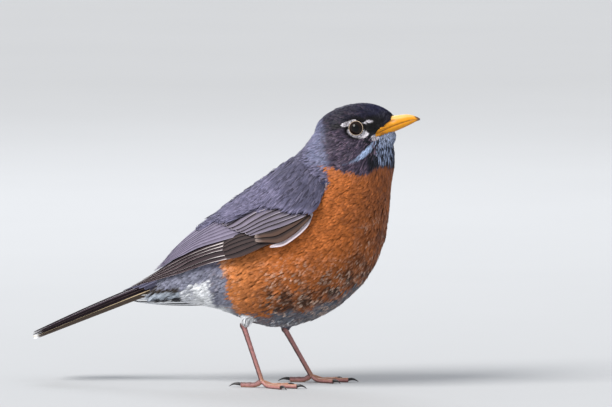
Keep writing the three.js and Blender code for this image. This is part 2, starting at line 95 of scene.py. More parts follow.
# The left wing's sheet: its lower and upper edges from the bend to the tip, and its bulge between.
WING_LOWER = [
    (29.4, 23.5, 112.4), (21.2, 30.6, 95.2), (7.8, 33, 81.6), (-3, 33.4, 78.2),
    (-18.7, 31, 72.8), (-30.8, 27.2, 69.6), (-43.1, 22, 65.6), (-55.4, 17, 62.2),
    (-73.5, 10.4, 57), (-87, 6.4, 52.8),
]
WING_UPPER = [
    (9, 11, 128.4), (-5, 9, 119.3), (-18, 7.5, 109.5), (-30.5, 6, 100),
    (-44, 5, 90), (-54, 4.4, 81.6), (-63, 4, 72.8), (-70, 4, 65.6),
    (-79, 4.2, 58.6), (-88.4, 5, 53.4),
]
WING_BULGE = [2.6, 5, 6.6, 7.2, 6.4, 5.2, 3.8, 2.4, 1.2, 0.4]

# Feather groups on the wing's sheet, in thousandths along from its bend and up from its lower edge.
# Each line is a feather's exposed lower edge from root to tip, and the last one closes the group.
# Lift is how far root and tip stand off the sheet, step how far each edge stands over the next
# feather, lobe how far the tip rounds back, and rim the width of the edge's own colour. Apex and
# shaft lie at shares of the way across. Colours are for the vane, its inner half and its rim.
# A vane's inner half is painted shadow under the next feather's edge; on the greater coverts it is
# partly their own dark centre too.
WING_GROUPS = {
    "primaries": dict(
        edges=[
            [(420, 0), (550, 20), (670, 35), (800, -20), (940, -120)],
            [(420, 50), (540, 90), (680, 115), (830, 60), (990, -70)],
            [(420, 140), (550, 200), (690, 245), (840, 140), (990, -20)],
            [(420, 200), (560, 265), (700, 335), (830, 260), (970, 80)],
            [(420, 250), (560, 325), (700, 430), (810, 390), (930, 220)],
            [(430, 310), (570, 400), (700, 520), (790, 520), (890, 380)],
        ],
        lift=(0.3, 0.3), step=0.6, lobe=6.0, apex=0.3, shaft=0.36, rim=1.15,
        colours=("primary", "primary_shadow", "primary_edge"),
    ),
    "secondaries": dict(
        edges=[
            [(340, 240), (500, 340), (620, 440), (730, 540), (840, 480)],
            [(340, 300), (500, 400), (620, 500), (730, 580), (840, 530)],
            [(340, 360), (500, 460), (620, 560), (730, 620), (835, 570)],
            [(350, 430), (500, 520), (620, 610), (720, 660), (825, 620)],
            [(350, 500), (500, 580), (610, 660), (720, 700), (815, 670)],
            [(360, 570), (500, 640), (610, 710), (710, 750), (800, 720)],
            [(360, 650), (500, 710), (600, 770), (690, 800), (775, 770)],
            [(370, 750), (490, 790), (590, 840), (670, 860), (740, 830)],
            [(380, 860), (480, 890), (570, 920), (630, 930), (695, 900)],
            [(400, 980), (480, 1000), (550, 1000), (600, 990), (650, 970)],
        ],
        lift=(1.3, 1.1), step=0.3, lobe=5.0, apex=0.45, shaft=0.45, rim=0.5,
        colours=("secondary", "secondary_shadow", "secondary_edge"),
    ),
    "primary_coverts": dict(
        edges=[
            [(260, 20), (320, 30), (380, 10), (440, 0), (505, 20)],
            [(270, 75), (330, 80), (390, 75), (445, 70), (497, 75)],
            [(280, 125), (340, 127), (390, 140), (440, 143), (485, 130)],
            [(300, 175), (350, 180), (390, 195), (435, 200), (472, 190)],
            [(320, 220), (360, 235), (390, 250), (427, 245), (460, 225)],
            [(330, 270), (360, 280), (390, 290), (420, 285), (450, 265)],
        ],
        lift=(1.2, 1.5), step=0.4, lobe=4.0, apex=0.35, shaft=0.4, rim=0.4,
        colours=("primary_covert", "primary_shadow", "dusky_edge"),
    ),
    "greater_coverts": dict(
        edges=[
            [(120, 50), (170, 120), (233, 180), (297, 180), (343, 185)],
            [(130, 110), (180, 189), (235, 235), (295, 225), (352, 210)],
            [(140, 180), (190, 250), (240, 285), (300, 265), (358, 252)],
            [(150, 260), (200, 320), (255, 330), (317, 302), (369, 292)],
            [(170, 350), (225, 390), (280, 370), (333, 342), (378, 338)],
            [(200, 430), (250, 455), (300, 430), (347, 402), (387, 400)],
            [(220, 510), (270, 530), (320, 500), (360, 470), (393, 462)],
            [(250, 590), (300, 600), (340, 570), (370, 540), (400, 530)],
        ],
        lift=(2.4, 2.4), step=0.5, lobe=3.2, apex=0.35, shaft=0.5, rim=0.62,
        colours=("greater_covert", "covert_dark_and_shadow", "covert_edge"),
    ),
    # The alula's dark rim is partly its own dark edge and partly painted shadow along its lower edge.
    "alula": dict(
        edges=[
            [(110, -10), (150, 0), (200, 15), (260, 25), (350, 85)],
            [(110, 30), (150, 55), (200, 90), (270, 110), (345, 135)],
            [(120, 80), (155, 115), (205, 170), (273, 180), (333, 178)],
        ],
        lift=(1.7, 2.8), step=0.45, lobe=4.0, apex=0.35, shaft=0.4, rim=0.5,
        colours=("dark_covert", "primary_shadow", "alula_edge_and_shadow"),
    ),
}
WING_STRIP = [  # the white edge of the wing: along, lower, upper
    (0.1, 0.0, 0.035), (0.125, -0.034, 0.018), (0.145, -0.04, -0.002), (0.17, -0.036, 0.006),
    (0.205, -0.026, 0.014), (0.26, -0.02, 0.026), (0.315, -0.012, 0.012),
]
STRIP_FEATHERS = 7
LEFT_TIPS_CLOSER = 0.9  # how much less the left wing's flight feathers stand off at their tips

# The tail's pairs from the middle outwards: their tone, and the colour and width of their rim.
TAIL_PAIRS = [
    ("tail_middle", "tail_middle", 0.3), ("tail_middle", "tail_middle", 0.3),
    ("tail_middle", "tail_middle", 0.3), ("tail", "tail_edge", 0.3), ("tail", "tail_line", 0.6),
    ("tail_outer", "tail_outer", 0.3),
]
WHITE_TIPPED = 4  # the first pair with white tips
# The sheet that they lie on, at the root and at the tip: the height of its ridge, the drop to its
# eaves, and half its width. Rise is how far it arches up on the way.
TAIL = dict(
    root_x=-70.0, tip_x=TAIL_TIP_X, outer_tip_x=-138.5, ridge=(58.5, 26.6),
    rise=0.9, eaves=(8.2, 3.4), half=(6.5, 13.0),
)
UNDER_TAIL = [  # line under the tail's base from behind: x, z
    (-92, 46.6), (-82, 44.3), (-72, 43.3), (-62, 42.9), (-52, 43.0), (-40, 43.6),
]
# Its coverts from the middle outwards: how far each pair reaches, and how dusky it is below.
UPPERTAIL_REACH = [1 - 0.1 * k for k in range(6)]
UNDERTAIL_REACH = [1 - 0.07 * k for k in (0, 2, 4, 1, 3)]
UNDERTAIL_DUSK = [0.3, 0.95, 0.95, 0.1, 0.9]

LEGS = {
    "right": dict(heel=(-20.4, -13.4, 33.2), foot=(-9.2, -17.6, 3.4), turn=-4, side=-1),
    "left": dict(heel=(-2.4, 11, 29.6), foot=(10.6, 19.6, 3.4), turn=6, side=1),
}
# Radii as (share of the way, radius): of the shank in millimetres, of a toe in toe radii.
SHANK_RADII = [(0, 1.5), (0.1, 2.0), (0.22, 1.5), (0.5, 1.3), (0.85, 1.32), (0.96, 1.72), (1, 1.3)]
KNUCKLES = [
    (0, 0.6), (0.1, 0.95), (0.3, 1.02), (0.4, 0.9), (0.62, 1.04), (0.72, 0.88), (0.88, 0.98),
    (0.96, 0.8), (1, 0.35),
]
SHANK_SCUTES = 9
TOE_SCUTES_PER_MM = 0.62
TOE_RADIUS = 1.35
TOES = {  # bearing from straight ahead, length, claw length, thickness
    "hallux": (178, 11.5, 7.2, 1.12),
    "inner": (-30, 14.5, 5.2, 0.95),
    "middle": (3, 20, 6, 1),
    "outer": (33, 15.5, 5, 0.92),
}

# The coat, at places [x, outwards, z]: spacing of the roots, length and half width of a feather,
# and how far its tip stands off the skin.
COAT = {
    "lores": ((49, 5, 143), 0.6, 1.6, 0.3, 0.45),
    "forehead": ((56, 2, 150), 0.6, 1.6, 0.3, 0.4),
    "crown": ((40, 4, 156), 0.7, 2.8, 0.36, 0.65),
    "eye": ((41, 11, 144), 0.58, 1.6, 0.3, 0.45),
    "ear": ((33, 12, 136), 0.72, 3.4, 0.34, 0.8),
    "chin": ((60, 3, 134), 0.7, 4.2, 0.3, 0.7),
    "throat": ((58, 7, 124), 0.8, 6.6, 0.36, 0.9),
    "nape": ((20, 6, 146), 0.85, 5.0, 0.5, 1.0),
    "neck": ((22, 15, 128), 0.95, 5.6, 0.6, 1.1),
    "crop": ((54, 14, 106), 1.0, 6.0, 0.66, 1.2),
    "breast": ((42, 22, 76), 1.1, 6.6, 0.78, 1.5),
    "flank": ((-5, 30, 60), 1.15, 7.2, 0.86, 1.6),
    "belly": ((5, 2, 33), 1.25, 7.5, 0.95, 1.5),
    "vent": ((-48, 8, 46), 1.2, 8.5, 0.86, 1.5),
    "undertail": ((-76, 4, 47), 1.3, 10.0, 1.0, 1.0),
    "mantle": ((-5, 8, 118), 1.1, 7.0, 0.7, 1.3),
    "scapulars": ((8, 22, 115), 1.1, 7.0, 0.7, 1.4),
    "bend": ((27, 26, 110), 0.9, 4.6, 0.6, 1.0),
    "rump": ((-48, 8, 80), 1.25, 8.0, 0.9, 1.4),
    "uppertail": ((-76, 4, 58), 1.3, 10.0, 1.0, 1.0),
    "right_thigh": ((-18, -14, 36), 0.9, 5.6, 0.5, 0.9),
    "left_thigh": ((0, 12, 33), 0.9, 7.5, 0.6, 0.8),
}

SRGB = {
    # The crown's blue front is a painted sheen.
    "crown": (28, 25, 44), "crown_painted_sheen": (28, 30, 62), "lores": (14, 11, 15),
    "cheek": (70, 60, 80), "cheek_line": (128, 106, 126), "nape": (122, 126, 156),
    "mantle": (105, 103, 131), "mantle_dark": (58, 54, 74), "mantle_line": (142, 136, 164),
    # The flank's lit rust is painted light; the deeper and darker rusts are painted shade.
    "bend": (40, 56, 92), "rust": (204, 116, 56), "rust_lit": (216, 132, 72),
    "rust_mottle_and_shade": (128, 74, 46), "rust_low_shade": (70, 46, 34), "rust_fringe": (214, 184, 164),
    # The belly's grey is partly painted shade of the underside, and the far thigh's grey is painted
    # shade.
    "belly": (106, 112, 124), "flank_grey": (140, 142, 160), "vent": (250, 252, 255),
    "undertail_dark": (22, 21, 27), "under_pale": (184, 194, 206), "uppertail": (98, 98, 118),
    "eye_white": (246, 240, 248), "rim": (222, 196, 170), "moustache": (180, 204, 244),
    "gape_patch": (244, 236, 244), "throat": (14, 16, 28), "throat_streak": (186, 204, 244),
    # The dark colours of the wing feathers' inner halves are painted shadow under the next feather, on
    # the greater coverts partly their own dark centres.
    "chin": (190, 204, 236), "primary": (74, 60, 64), "primary_shadow": (26, 20, 24),
    "primary_edge": (255, 244, 242), "secondary": (138, 130, 152),
    "secondary_shadow": (116, 106, 128), "secondary_edge": (160, 152, 172),
    "greater_covert": (120, 112, 128), "covert_dark_and_shadow": (44, 34, 40),
    "covert_edge": (206, 196, 206), "dusky_edge": (128, 110, 108), "dark_covert": (84, 62, 52),
    # The alula's dark rim colour is partly painted shadow.
    "alula_edge_and_shadow": (44, 32, 30), "marginal": (232, 218, 226), "tail": (26, 20, 24),
    "tail_middle": (74, 62, 70), "tail_outer": (62, 54, 48), "tail_line": (222, 200, 164),
    "tail_edge": (104, 86, 84), "covert_tip": (196, 176, 168), "primary_covert": (64, 51, 50),
    # The bill's pale ridge is a painted highlight; its mark colour is partly painted shade under the
    # keel.
    "bill": (236, 156, 12), "bill_ridge_highlight": (240, 196, 112), "bill_mark_and_shade": (150, 82, 14),
    "bill_tip": (66, 54, 54), "iris": (30, 17, 12), "leg": (182, 126, 122),
    "leg_dark": (56, 36, 34), "leg_yellow": (186, 140, 84), "claw": (34, 29, 30),
}


def linear(rgb):
    """Linear light of a screen colour of 0 to 255."""
    c = np.array(rgb, float) / 255
    return np.where(c <= 0.04045, c / 12.92, ((c + 0.055) / 1.055) ** 2.4)


PAINT = {name: linear(rgb) for name, rgb in SRGB.items()}

# -------- curves and small helpers


def unit(v):
    return v / np.maximum(np.linalg.norm(v, axis=-1, keepdims=True), 1e-9)


def smooth(low, high, x):
    """Goes gently from 0 at low to 1 at high. Low may be the greater of the two."""
    t = np.clip((np.asarray(x, float) - low) / (high - low), 0, 1)
    return t * t * (3 - 2 * t)


def looked_up(x, table, **ends):
    """Values at x in a table of (x, value)."""
    return np.interp(x, *zip(*table), **ends)


def mixed(ends, share):
    """A value part of the way between two ends."""
    return ends[0] + (ends[1] - ends[0]) * share


def full_turn(count):
    return np.linspace(0, 2 * math.pi, count, endpoint=False)


def ring_ways(angle, first, second):
    """Directions at angles round a ring, from its first axis towards its second."""
    return np.cos(angle)[..., None] * first + np.sin(angle)[..., None] * second


def curve(points, t):
    """Points of a smooth curve through the given ones, at shares t of the way along."""
    points = np.asarray(points, float)
    if points.ndim == 1:
        points = points[:, None]
    ends = [2 * points[:1] - points[1:2], points, 2 * points[-1:] - points[-2:-1]]
    padded = np.concatenate(ends)
    at = np.clip(np.asarray(t, float), 0, 1) * (len(points) - 1)
    i = np.minimum(at.astype(int), len(points) - 2)
    f = (at - i)[..., None]
    a, b, c, d = padded[i], padded[i + 1], padded[i + 2], padded[i + 3]
    m, n = (c - a) / 2, (d - b) / 2
    return ((2 * b - 2 * c + m + n) * f + (3 * c - 3 * b - 2 * m - n)) * f * f + m * f + b


def head_point(at, aside, above):
    """Places on the bird's own axes, from the head's."""
    c, s = math.cos(HEAD_PITCH), math.sin(HEAD_PITCH)
    x = HEAD_ORIGIN[0] + c * at - s * above - HEAD_TURN_X
    z = HEAD_ORIGIN[1] + s * at + c * above
    c, s = math.cos(HEAD_YAW), math.sin(HEAD_YAW)
    turned = [c * x - s * aside + HEAD_TURN_X, s * x + c * aside, z]
    return np.stack(np.broadcast_arrays(*turned), axis=-1)


def head_axes(p):
    """The reverse of head_point: at, aside and above of the given points."""
    c, s = math.cos(-HEAD_YAW), math.sin(-HEAD_YAW)
    x, y = p[..., 0] - HEAD_TURN_X, p[..., 1]
    ahead = c * x - s * y + HEAD_TURN_X - HEAD_ORIGIN[0]
    aside = s * x + c * y
    up = p[..., 2] - HEAD_ORIGIN[1]
    c, s = math.cos(HEAD_PITCH), math.sin(HEAD_PITCH)
    return c * ahead + s * up, aside, c * up - s * ahead


EYES, EYE_AXES = {}, {}
for eye_side, eye_sign in SIDES.items():
    EYES[eye_side] = head_point(EYE_PLACE[0], eye_sign * EYE_PLACE[1], EYE_PLACE[2])
    looking = head_point(EYE_LOOK[0], eye_sign * EYE_LOOK[1], EYE_LOOK[2])
    EYE_AXES[eye_side] = unit(looking - head_point(0, 0, 0))


def off_eye_axis(points, side):
    """How far points lie out along an eye's axis, and their offsets away from it."""
    q = points - EYES[side]
    height = q @ EYE_AXES[side]
    return height, q - height[:, None] * EYE_AXES[side]


def eye_ring_axes(side):
    """An eye's directions ahead and up, across its axis."""
    ahead = unit(np.cross(EYE_AXES[side], [0, 0, 1.0]))
    return ahead, np.cross(ahead, EYE_AXES[side])


def grid_faces(rows, columns, wrap=False, start=0):
    """Quads of a grid of points, row by row. Wrap closes each row on itself."""
    r = np.arange(rows - 1)[:, None]
    c = np.arange(columns if wrap else columns - 1)[None, :]
    a = r * columns + c
    b = r * columns + (c + 1) % columns
    return np.stack([a, b, b + columns, a + columns], -1).reshape(-1, 4) + start


def loft(rings):
    """A closed surface through rings [rows, points, 3] with a fan on each end, outwards."""
    rows, count = rings.shape[:2]
    points = np.concatenate([rings.reshape(-1, 3), rings[0].mean(0)[None], rings[-1].mean(0)[None]])
    first, last = rows * count, rows * count + 1
    k = np.arange(count)
    n = (k + 1) % count
    end = (rows - 1) * count
    caps = [
        np.stack([n, k, np.full(count, first)], -1),
        np.stack([end + k, end + n, np.full(count, last)], -1),
    ]
    faces = [grid_faces(rows, count, wrap=True), *caps]
    return turned_out(points, faces)


def turned_out(points, faces):
    """The points and faces, with the faces turned over if they looked inwards."""
    volume = 0.0
    for f in faces:
        a = points[f[:, 0]]
        for k in range(1, f.shape[1] - 1):
            volume += np.einsum("ij,ij->", a, np.cross(points[f[:, k]], points[f[:, k + 1]]))
    return points, faces if volume > 0 else [f[:, ::-1] for f in faces]


def joined(parts):
    """Several (points, faces) as one."""
    points, faces, start = [], [], 0
    for p, fs in parts:
        points.append(p)
        faces += [f + start for f in fs]
        start += len(p)
    return np.concatenate(points), faces


def corners(faces):
    """The point at each corner of the faces, in order."""
    return np.concatenate([f.ravel() for f in faces])


def make_mesh(name, points, faces):
    """A smooth mesh in the frame, from points in millimetres and arrays of faces."""
    mesh = bpy.data.meshes.new(name)
    placed = points * MM + SHIFT * MM
    mesh.vertices.add(len(placed))
    mesh.vertices.foreach_set("co", placed.astype(np.float32).ravel())
    loops = corners(faces).astype(np.int32)
    sizes = np.concatenate([np.full(len(f), f.shape[1]) for f in faces])
    mesh.loops.add(len(loops))
    mesh.loops.foreach_set("vertex_index", loops)
    mesh.polygons.add(len(sizes))
    starts = np.concatenate([[0], np.cumsum(sizes)[:-1]]).astype(np.int32)
    mesh.polygons.foreach_set("loop_start", starts)
    mesh.polygons.foreach_set("use_smooth", np.ones(len(sizes), bool))
    mesh.update(calc_edges=True)
    return mesh


def set_attribute(mesh, name, kind, values):
    """An attribute with one value for each point."""
    made = mesh.attributes.new(name, kind, "POINT")
    key = {"FLOAT": "value", "FLOAT_VECTOR": "vector", "FLOAT_COLOR": "color"}[kind]
    made.data.foreach_set(key, np.ascontiguousarray(values, np.float32).ravel())


def set_bake_map(mesh, places):
    """The unwrapped layer, with one place for each corner of the faces."""
    layer = mesh.uv_layers.new(name="OFBake")
    layer.uv.foreach_set("vector", places.astype(np.float32).ravel())


def set_colour(mesh, name, colour):
    set_attribute(mesh, name, "FLOAT_COLOR", np.concatenate([colour, np.ones((len(colour), 1))], 1))


def add_piece(name, mesh, material, replaces=()):
    """A piece of the bird, all of which rides on the one body."""
    piece = bpy.data.objects.new(name, mesh)
    bpy.context.scene.collection.objects.link(piece)
    mesh.materials.append(material)
    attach(piece, "root")
    if replaces:
        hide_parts(*replaces)


# -------- markings


# Masks run from 0 to 1. The numbers in them are places and widths in millimetres, or shares of the
# random ones, chance and hair.


def plain_coat(name, count):
    return np.tile(PAINT[name], (count, 1))


def lay(colour, name, mask):
    """A paint, or another coat's colours, laid over a coat where the mask says."""
    paint = PAINT[name] if isinstance(name, str) else name
    return colour + (paint - colour) * np.clip(mask, 0, 1)[:, None]


def polar_round_eye(p):
    """Angle in degrees from straight ahead, upwards, and distance, round the nearer eye."""
    at, _, above = head_axes(p)
    dx, dz = at - EYE_PLACE[0], above - EYE_PLACE[2]
    return np.degrees(np.arctan2(dz, dx)) % 360, np.hypot(dx, dz)


def along_line(x, z, line):
    """Distance from a broken line in side view, and share of the way along it."""
    best = np.full(len(x), 1e9)
    share = np.zeros(len(x))
    for i in range(len(line) - 1):
        a, b = np.array(line[i]), np.array(line[i + 1])
        d = b - a
        t = np.clip(((x - a[0]) * d[0] + (z - a[1]) * d[1]) / (d @ d), 0, 1)
        far = np.hypot(x - a[0] - t * d[0], z - a[1] - t * d[1])
        near = far < best
        best = np.where(near, far, best)
        share = np.where(near, (i + t) / (len(line) - 1), share)
    return best, share


HOOD_EDGE = [  # x, z
    (20, 122.4), (31.3, 120.9), (39.7, 118.7), (46.4, 116.6), (50.9, 119), (55.4, 121.5), (62, 119.5),
]
SHOULDER_EDGE = [  # z, x
    (47.6, -26.6), (69, -30.7), (72, -30), (92, 8), (99.7, 21.5), (107.1, 25.6),
    (111.6, 28.8), (113.7, 29.2), (119.5, 26), (122.4, 23), (130, 23),
]
BELLY_EDGE = [(-34, 42), (-20, 39.5), (0, 41), (14, 43), (26, 48), (36, 53), (46, 59)]  # x, z
FACE_EDGE = [  # z, x
    (118, 31), (123, 28.5), (131, 26.3), (137, 25), (144, 22.6), (150, 19.5), (158, 14),
]
MOUSTACHE = [  # x, z from its front end, and then its half width and strength along it
    (51.2, 134.6), (50.2, 132.8), (49.2, 131), (47.4, 128.9), (45, 126.9), (43.2, 125.5),
    (39.4, 123.6), (35.4, 122.4),
]
MOUSTACHE_WIDTH = [0.35, 0.8, 1.3, 1.6, 1.45, 0.9, 0.5, 0.3]
MOUSTACHE_STRENGTH = [0.6, 0.95, 1, 1, 0.85, 0.45, 0.22, 0.1]
UPPER_CRESCENT = [  # angle round the eye, reach from its middle
    (76, 4), (84, 4.6), (96, 4.95), (122, 5.85), (138, 6.8),
    (145, 7.3), (152, 8), (160, 8.5), (165, 7.5), (168, 4),
]
LOWER_CRESCENT = [
    (172, 4), (180, 5.1), (191, 5.5), (205, 5.2), (222, 5.1), (245, 5.2), (262, 5.5),
    (278, 6.1), (294, 6.9), (305, 7.4), (319, 7.5), (327, 7.1), (332, 5.5), (335, 4),
]


def crescent(q, outline):
    return smooth(0.2, -0.2, q.reach - looked_up(q.angle, outline, left=0, right=0))


def coat_spots(p, chance, hair):
    """What the markings at points p go by: their places, random shares, and parts of the bird."""
    x, y, z = p.T
    at, _, above = head_axes(p)
    angle, reach = polar_round_eye(p)
    stray = chance - 0.5
    below_hood = smooth(-0.5, 0.5, looked_up(x, HOOD_EDGE) - z + stray * 1.4 + (hair - 0.5))
    loose = 1 + 0.9 * smooth(72, 60, z)
    past_shoulder = x - looked_up(z, SHOULDER_EDGE) + loose * (stray * 3.0 + (hair - 0.5) * 1.6)
    hood = (1 - below_hood) * smooth(12, 17, x) * smooth(111, 118, z)
    face = hood * smooth(-4.5, 2.6, x - looked_up(z, FACE_EDGE) + stray * 2.4 + (hair - 0.5) * 1.5)
    return SimpleNamespace(
        count=len(p), x=x, y=y, z=z, side=np.abs(y), at=at, above=above, angle=angle, reach=reach,
        chance=chance, hair=hair, stray=stray, below_hood=below_hood, past_shoulder=past_shoulder,
        hood=hood, face=face, face_side=(np.abs(y) > 4.0) * smooth(0.3, 0.6, face),
        throat=hood * smooth(46.5, 49, x + 0.25 * (z - 128)) * smooth(-6.3, -7.3, above),
    )


def mantle_colour(q):
    """Slate back with darker and paler strands, and a blue touch at the wing's bend."""
    dark = 0.75 * smooth(0.55, 0.95, q.hair) + 0.3 * smooth(0.6, 1, q.chance)
    colour = lay(plain_coat("mantle", q.count), "mantle_dark", dark)
    colour = lay(colour, "mantle_line", 0.6 * smooth(0.3, 0.05, q.hair))
    return lay(colour, "bend", 0.9 * smooth(3.4, 1.2, np.hypot(q.x - 28, q.z - 112)) * (q.side > 14))


def lay_breast(q, colour, fringe, on_wing):
    """Rust below the hood, brighter on the rear flank as painted light, deeper towards the front and low
    down as painted shade, mottled low down, with pale fringes there.
    """
    x, z, stray, hair = q.x, q.z, q.stray, q.hair
    rust = q.below_hood * smooth(-0.7, 0.7, q.past_shoulder) * (1 - on_wing)
    # Painted light: the rear flank is painted brighter where the light falls on it.
    paint = lay(plain_coat("rust", q.count), "rust_lit", smooth(6, -22, x) * smooth(88, 74, z))
    # Painted shade towards the front and low down, with random mottle laid in with it.
    front_and_low_shade = 0.75 * smooth(30, 56, x) + 0.8 * smooth(62, 44, z) * smooth(-12, 12, x)
    paint = lay(paint, "rust_mottle_and_shade", 0.85 * front_and_low_shade + 0.45 * stray + 0.4 * (hair - 0.5))
    # Painted shade low on the breast, in random patches.
    low = smooth(74, 52, z + 0.3 * (22 - x)) * smooth(-24, 0, x)
    paint = lay(paint, "rust_low_shade", low * (0.7 + 0.9 * stray + 0.5 * (hair - 0.5)))
    mottled = smooth(80, 62, z) * smooth(-16, 4, x) * (1 + 0.35 * smooth(56, 46, z))
    mottled = np.maximum(mottled, 0.8 * smooth(40, 50, x) * smooth(100, 84, z))
    border = smooth(9, 2, q.past_shoulder) * smooth(78, 70, z)
    # Other random shares are drawn from the same two by taking a multiple's fraction.
    frosted = np.maximum(mottled * (0.2 + 0.6 * smooth(0.3, 0.8, (q.chance * 7.3) % 1)), 0.6 * border)
    frosted = frosted * (0.55 + 0.45 * smooth(0.1, 0.6, (hair * 5.7) % 1))
    return lay(colour, paint, rust), np.where(rust > 0.5, 0.03 + 0.85 * frosted, fringe)


def lay_rear(q, colour, fringe):
    """Grey rear flank, a dusky grey belly, partly its own colour and partly painted shade, white vent, a
    dark wedge under the tail, and the thighs, the far left one painted grey as shade.
    """
    x, y, z, stray, hair = q.x, q.y, q.z, q.stray, q.hair
    rear = smooth(0.7, -0.7, q.past_shoulder) * smooth(74, 66, z + 0.25 * (x + 35))
    grey = lay(plain_coat("flank_grey", q.count), "mantle_dark", 0.5 * smooth(0.6, 1, hair))
    colour = lay(colour, grey, rear * smooth(72, 60, z))
    fringe = np.where(rear > 0.5, 0.1, fringe)
    # The belly's grey is partly its own pale grey and partly painted shade of the underside.
    belly = smooth(-1.5, 1.5, looked_up(x, BELLY_EDGE) - z + stray * 4)
    colour = lay(colour, "belly", belly * (0.7 + 0.4 * hair))
    vent = smooth(-36.5, -38.5, x + 0.15 * (z - 50) + stray * 3)
    vent = vent * smooth(58.2, 56.6, z - 0.36 * (x + 43) * (x < -43) + stray * 3)
    vent = np.maximum(vent, smooth(45, 42.5, z + stray * 2) * smooth(-24, -34, x))
    colour = lay(colour, "vent", vent * (0.95 + 0.3 * hair))
    greyed = smooth(-47, -50, x + stray * 4) * smooth(0.2, 0.7, hair) + 0.8 * smooth(-55, -57, x)
    colour = lay(colour, "flank_grey", 0.6 * greyed * vent)
    behind = smooth(-55.5, -57.5, x)
    level = z - 0.16 * (x + 58)
    outer = behind * smooth(54.2, 53.4, level) * smooth(51.2, 51.8, level)
    colour = lay(colour, "tail_outer", outer)
    pale = 0.9 * behind * smooth(51.8, 51.2, level) * smooth(48.4, 49.2, level)
    colour = lay(colour, "under_pale", pale)
    wedge = behind * smooth(49.2, 48.4, level) * smooth(45, 45.8, z)
    colour = lay(colour, "undertail_dark", wedge)
    vent = np.maximum(vent, behind * (level < 54))
    right_thigh = smooth(6.2, 5.0, np.hypot(x + 19.5, y + 13.4)) * smooth(40.5, 38.5, z)
    colour = lay(colour, "vent", 0.95 * right_thigh)
    # Painted shade: the far left thigh's pale feathers are painted grey.
    left_thigh = smooth(6.6, 5.2, np.hypot(x + 1.4, y - 11.4)) * smooth(38, 35.5, z)
    return lay(colour, "flank_grey", 0.9 * left_thigh), np.where(vent > 0.5, 0.0, fringe)


def lay_hood(q, colour):
    """Slate nape, black crown with a painted blue sheen on its front, black lores, and a purplish cheek
    with fine pale strands.
    """
    at, above, hair = q.at, q.above, q.hair
    nape = lay(plain_coat("nape", q.count), "mantle_dark", 0.5 * smooth(0.7, 1, hair))
    nape = lay(nape, "mantle_line", 0.6 * smooth(0.35, 0.1, hair))
    colour = lay(colour, nape, q.hood)
    # Painted sheen: the crown's front and top are painted blue.
    front = smooth(-4, 14, at) * smooth(1, 8, above)
    crown = lay(plain_coat("crown", q.count), "crown_painted_sheen", 0.9 * front)
    crown = lay(crown, "cheek_line", 0.28 * smooth(0.72, 1, hair) * smooth(12, 2, at))
    colour = lay(colour, crown, q.face)
    cheek = lay(plain_coat("cheek", q.count), "cheek_line", 0.6 * smooth(0.62, 0.95, hair))
    cheek = lay(cheek, "lores", 0.5 * smooth(0.3, 0.0, hair))
    on_cheek = q.face * smooth(3.2, 0.6, above - 0.12 * at) * smooth(7, 2, at)
    colour = lay(colour, cheek, 0.9 * on_cheek)
    band = smooth(1.9, 0.8, np.abs(above - 0.9 + 0.1 * at)) * smooth(-15, -9, at) * smooth(6, 0, at)
    colour = lay(colour, "lores", 0.8 * band * q.face)
    colour = lay(colour, "lores", q.face * smooth(9, 5, np.hypot(at - 9.5, (above + 1) * 1.4)))
    return lay(colour, "lores", q.face * smooth(7.2, 5.6, q.reach) * q.face_side)


def lay_throat(q, colour):
    """Dark throat with pale blue streaks, a pale chin, and a few pale strands at the jaw."""
    x, z, hair, throat = q.x, q.z, q.hair, q.throat
    colour = lay(colour, "throat", throat)
    outer = smooth(1.0, 3.4, q.side)
    lines = np.sin(3.9 * (q.side - x) + 1.3 * np.sin(0.5 * z + 2) + 2.5 * q.stray) + 1.4 * (hair - 0.5)
    ahead = x + 0.12 * (z - 128)
    streak = smooth(51.3, 53.5, ahead) * smooth(-0.1, 0.5, lines) * smooth(119.5, 125, z)
    colour = lay(colour, "throat_streak", throat * 0.9 * streak * (0.12 + 0.88 * outer))
    chin = smooth(131, 135, z) * smooth(54, 57, x) * smooth(0.4, 2, q.side)
    colour = lay(colour, "chin", throat * chin * (0.2 + 0.75 * smooth(-0.9, 0.1, lines)))
    jaw = throat * smooth(55, 53, ahead) * smooth(124, 127, z) * smooth(0.8, 0.9, hair)
    return lay(colour, "cheek_line", 0.8 * jaw)


def lay_face_marks(q, colour):
    """White crescents round the eye, a spot before it, moustache and gape patch, and their mask."""
    dx, dz = q.at - EYE_PLACE[0], q.above - EYE_PLACE[2]
    white = crescent(q, UPPER_CRESCENT) * smooth(1.7, 2.3, dz + 0.02 * dx)
    white = np.maximum(white, crescent(q, LOWER_CRESCENT))
    spot = smooth(1.2, 0.8, np.hypot((dx - 7.5) / 1.7, (dz - 2.35 + 0.2 * (dx - 7.5)) / 0.85))
    trail = smooth(1.25, 0.8, np.hypot((dx - 4.9) / 1.4, (dz - 2.2) / 0.42))
    white = np.maximum.reduce([white, spot, 0.8 * trail])
    colour = lay(colour, "eye_white", white * q.face_side)
    far, share = along_line(q.x, q.z, MOUSTACHE)
    stations = np.linspace(0, 1, len(MOUSTACHE))
    width = np.interp(share, stations, MOUSTACHE_WIDTH)
    stripe = smooth(width + 0.35, width - 0.35, far + 0.5 * (q.hair - 0.5))
    stripe = stripe * np.interp(share, stations, MOUSTACHE_STRENGTH)
    colour = lay(colour, "moustache", stripe * (q.side > 4))
    patch = smooth(1.25, 0.8, np.hypot((q.at - 10.3) / 2.0, (q.above + 8.4) / 1.7)) * (q.side > 3)
    colour = lay(colour, "gape_patch", patch * smooth(0.0, 0.35, q.hair))
    lid_line = smooth(4.45, 4.3, q.reach) * smooth(3.9, 4.05, q.reach)
    colour = lay(colour, "lores", lid_line * q.face_side * (1 - white))
    return colour, np.maximum.reduce([white * q.face_side, stripe, patch])


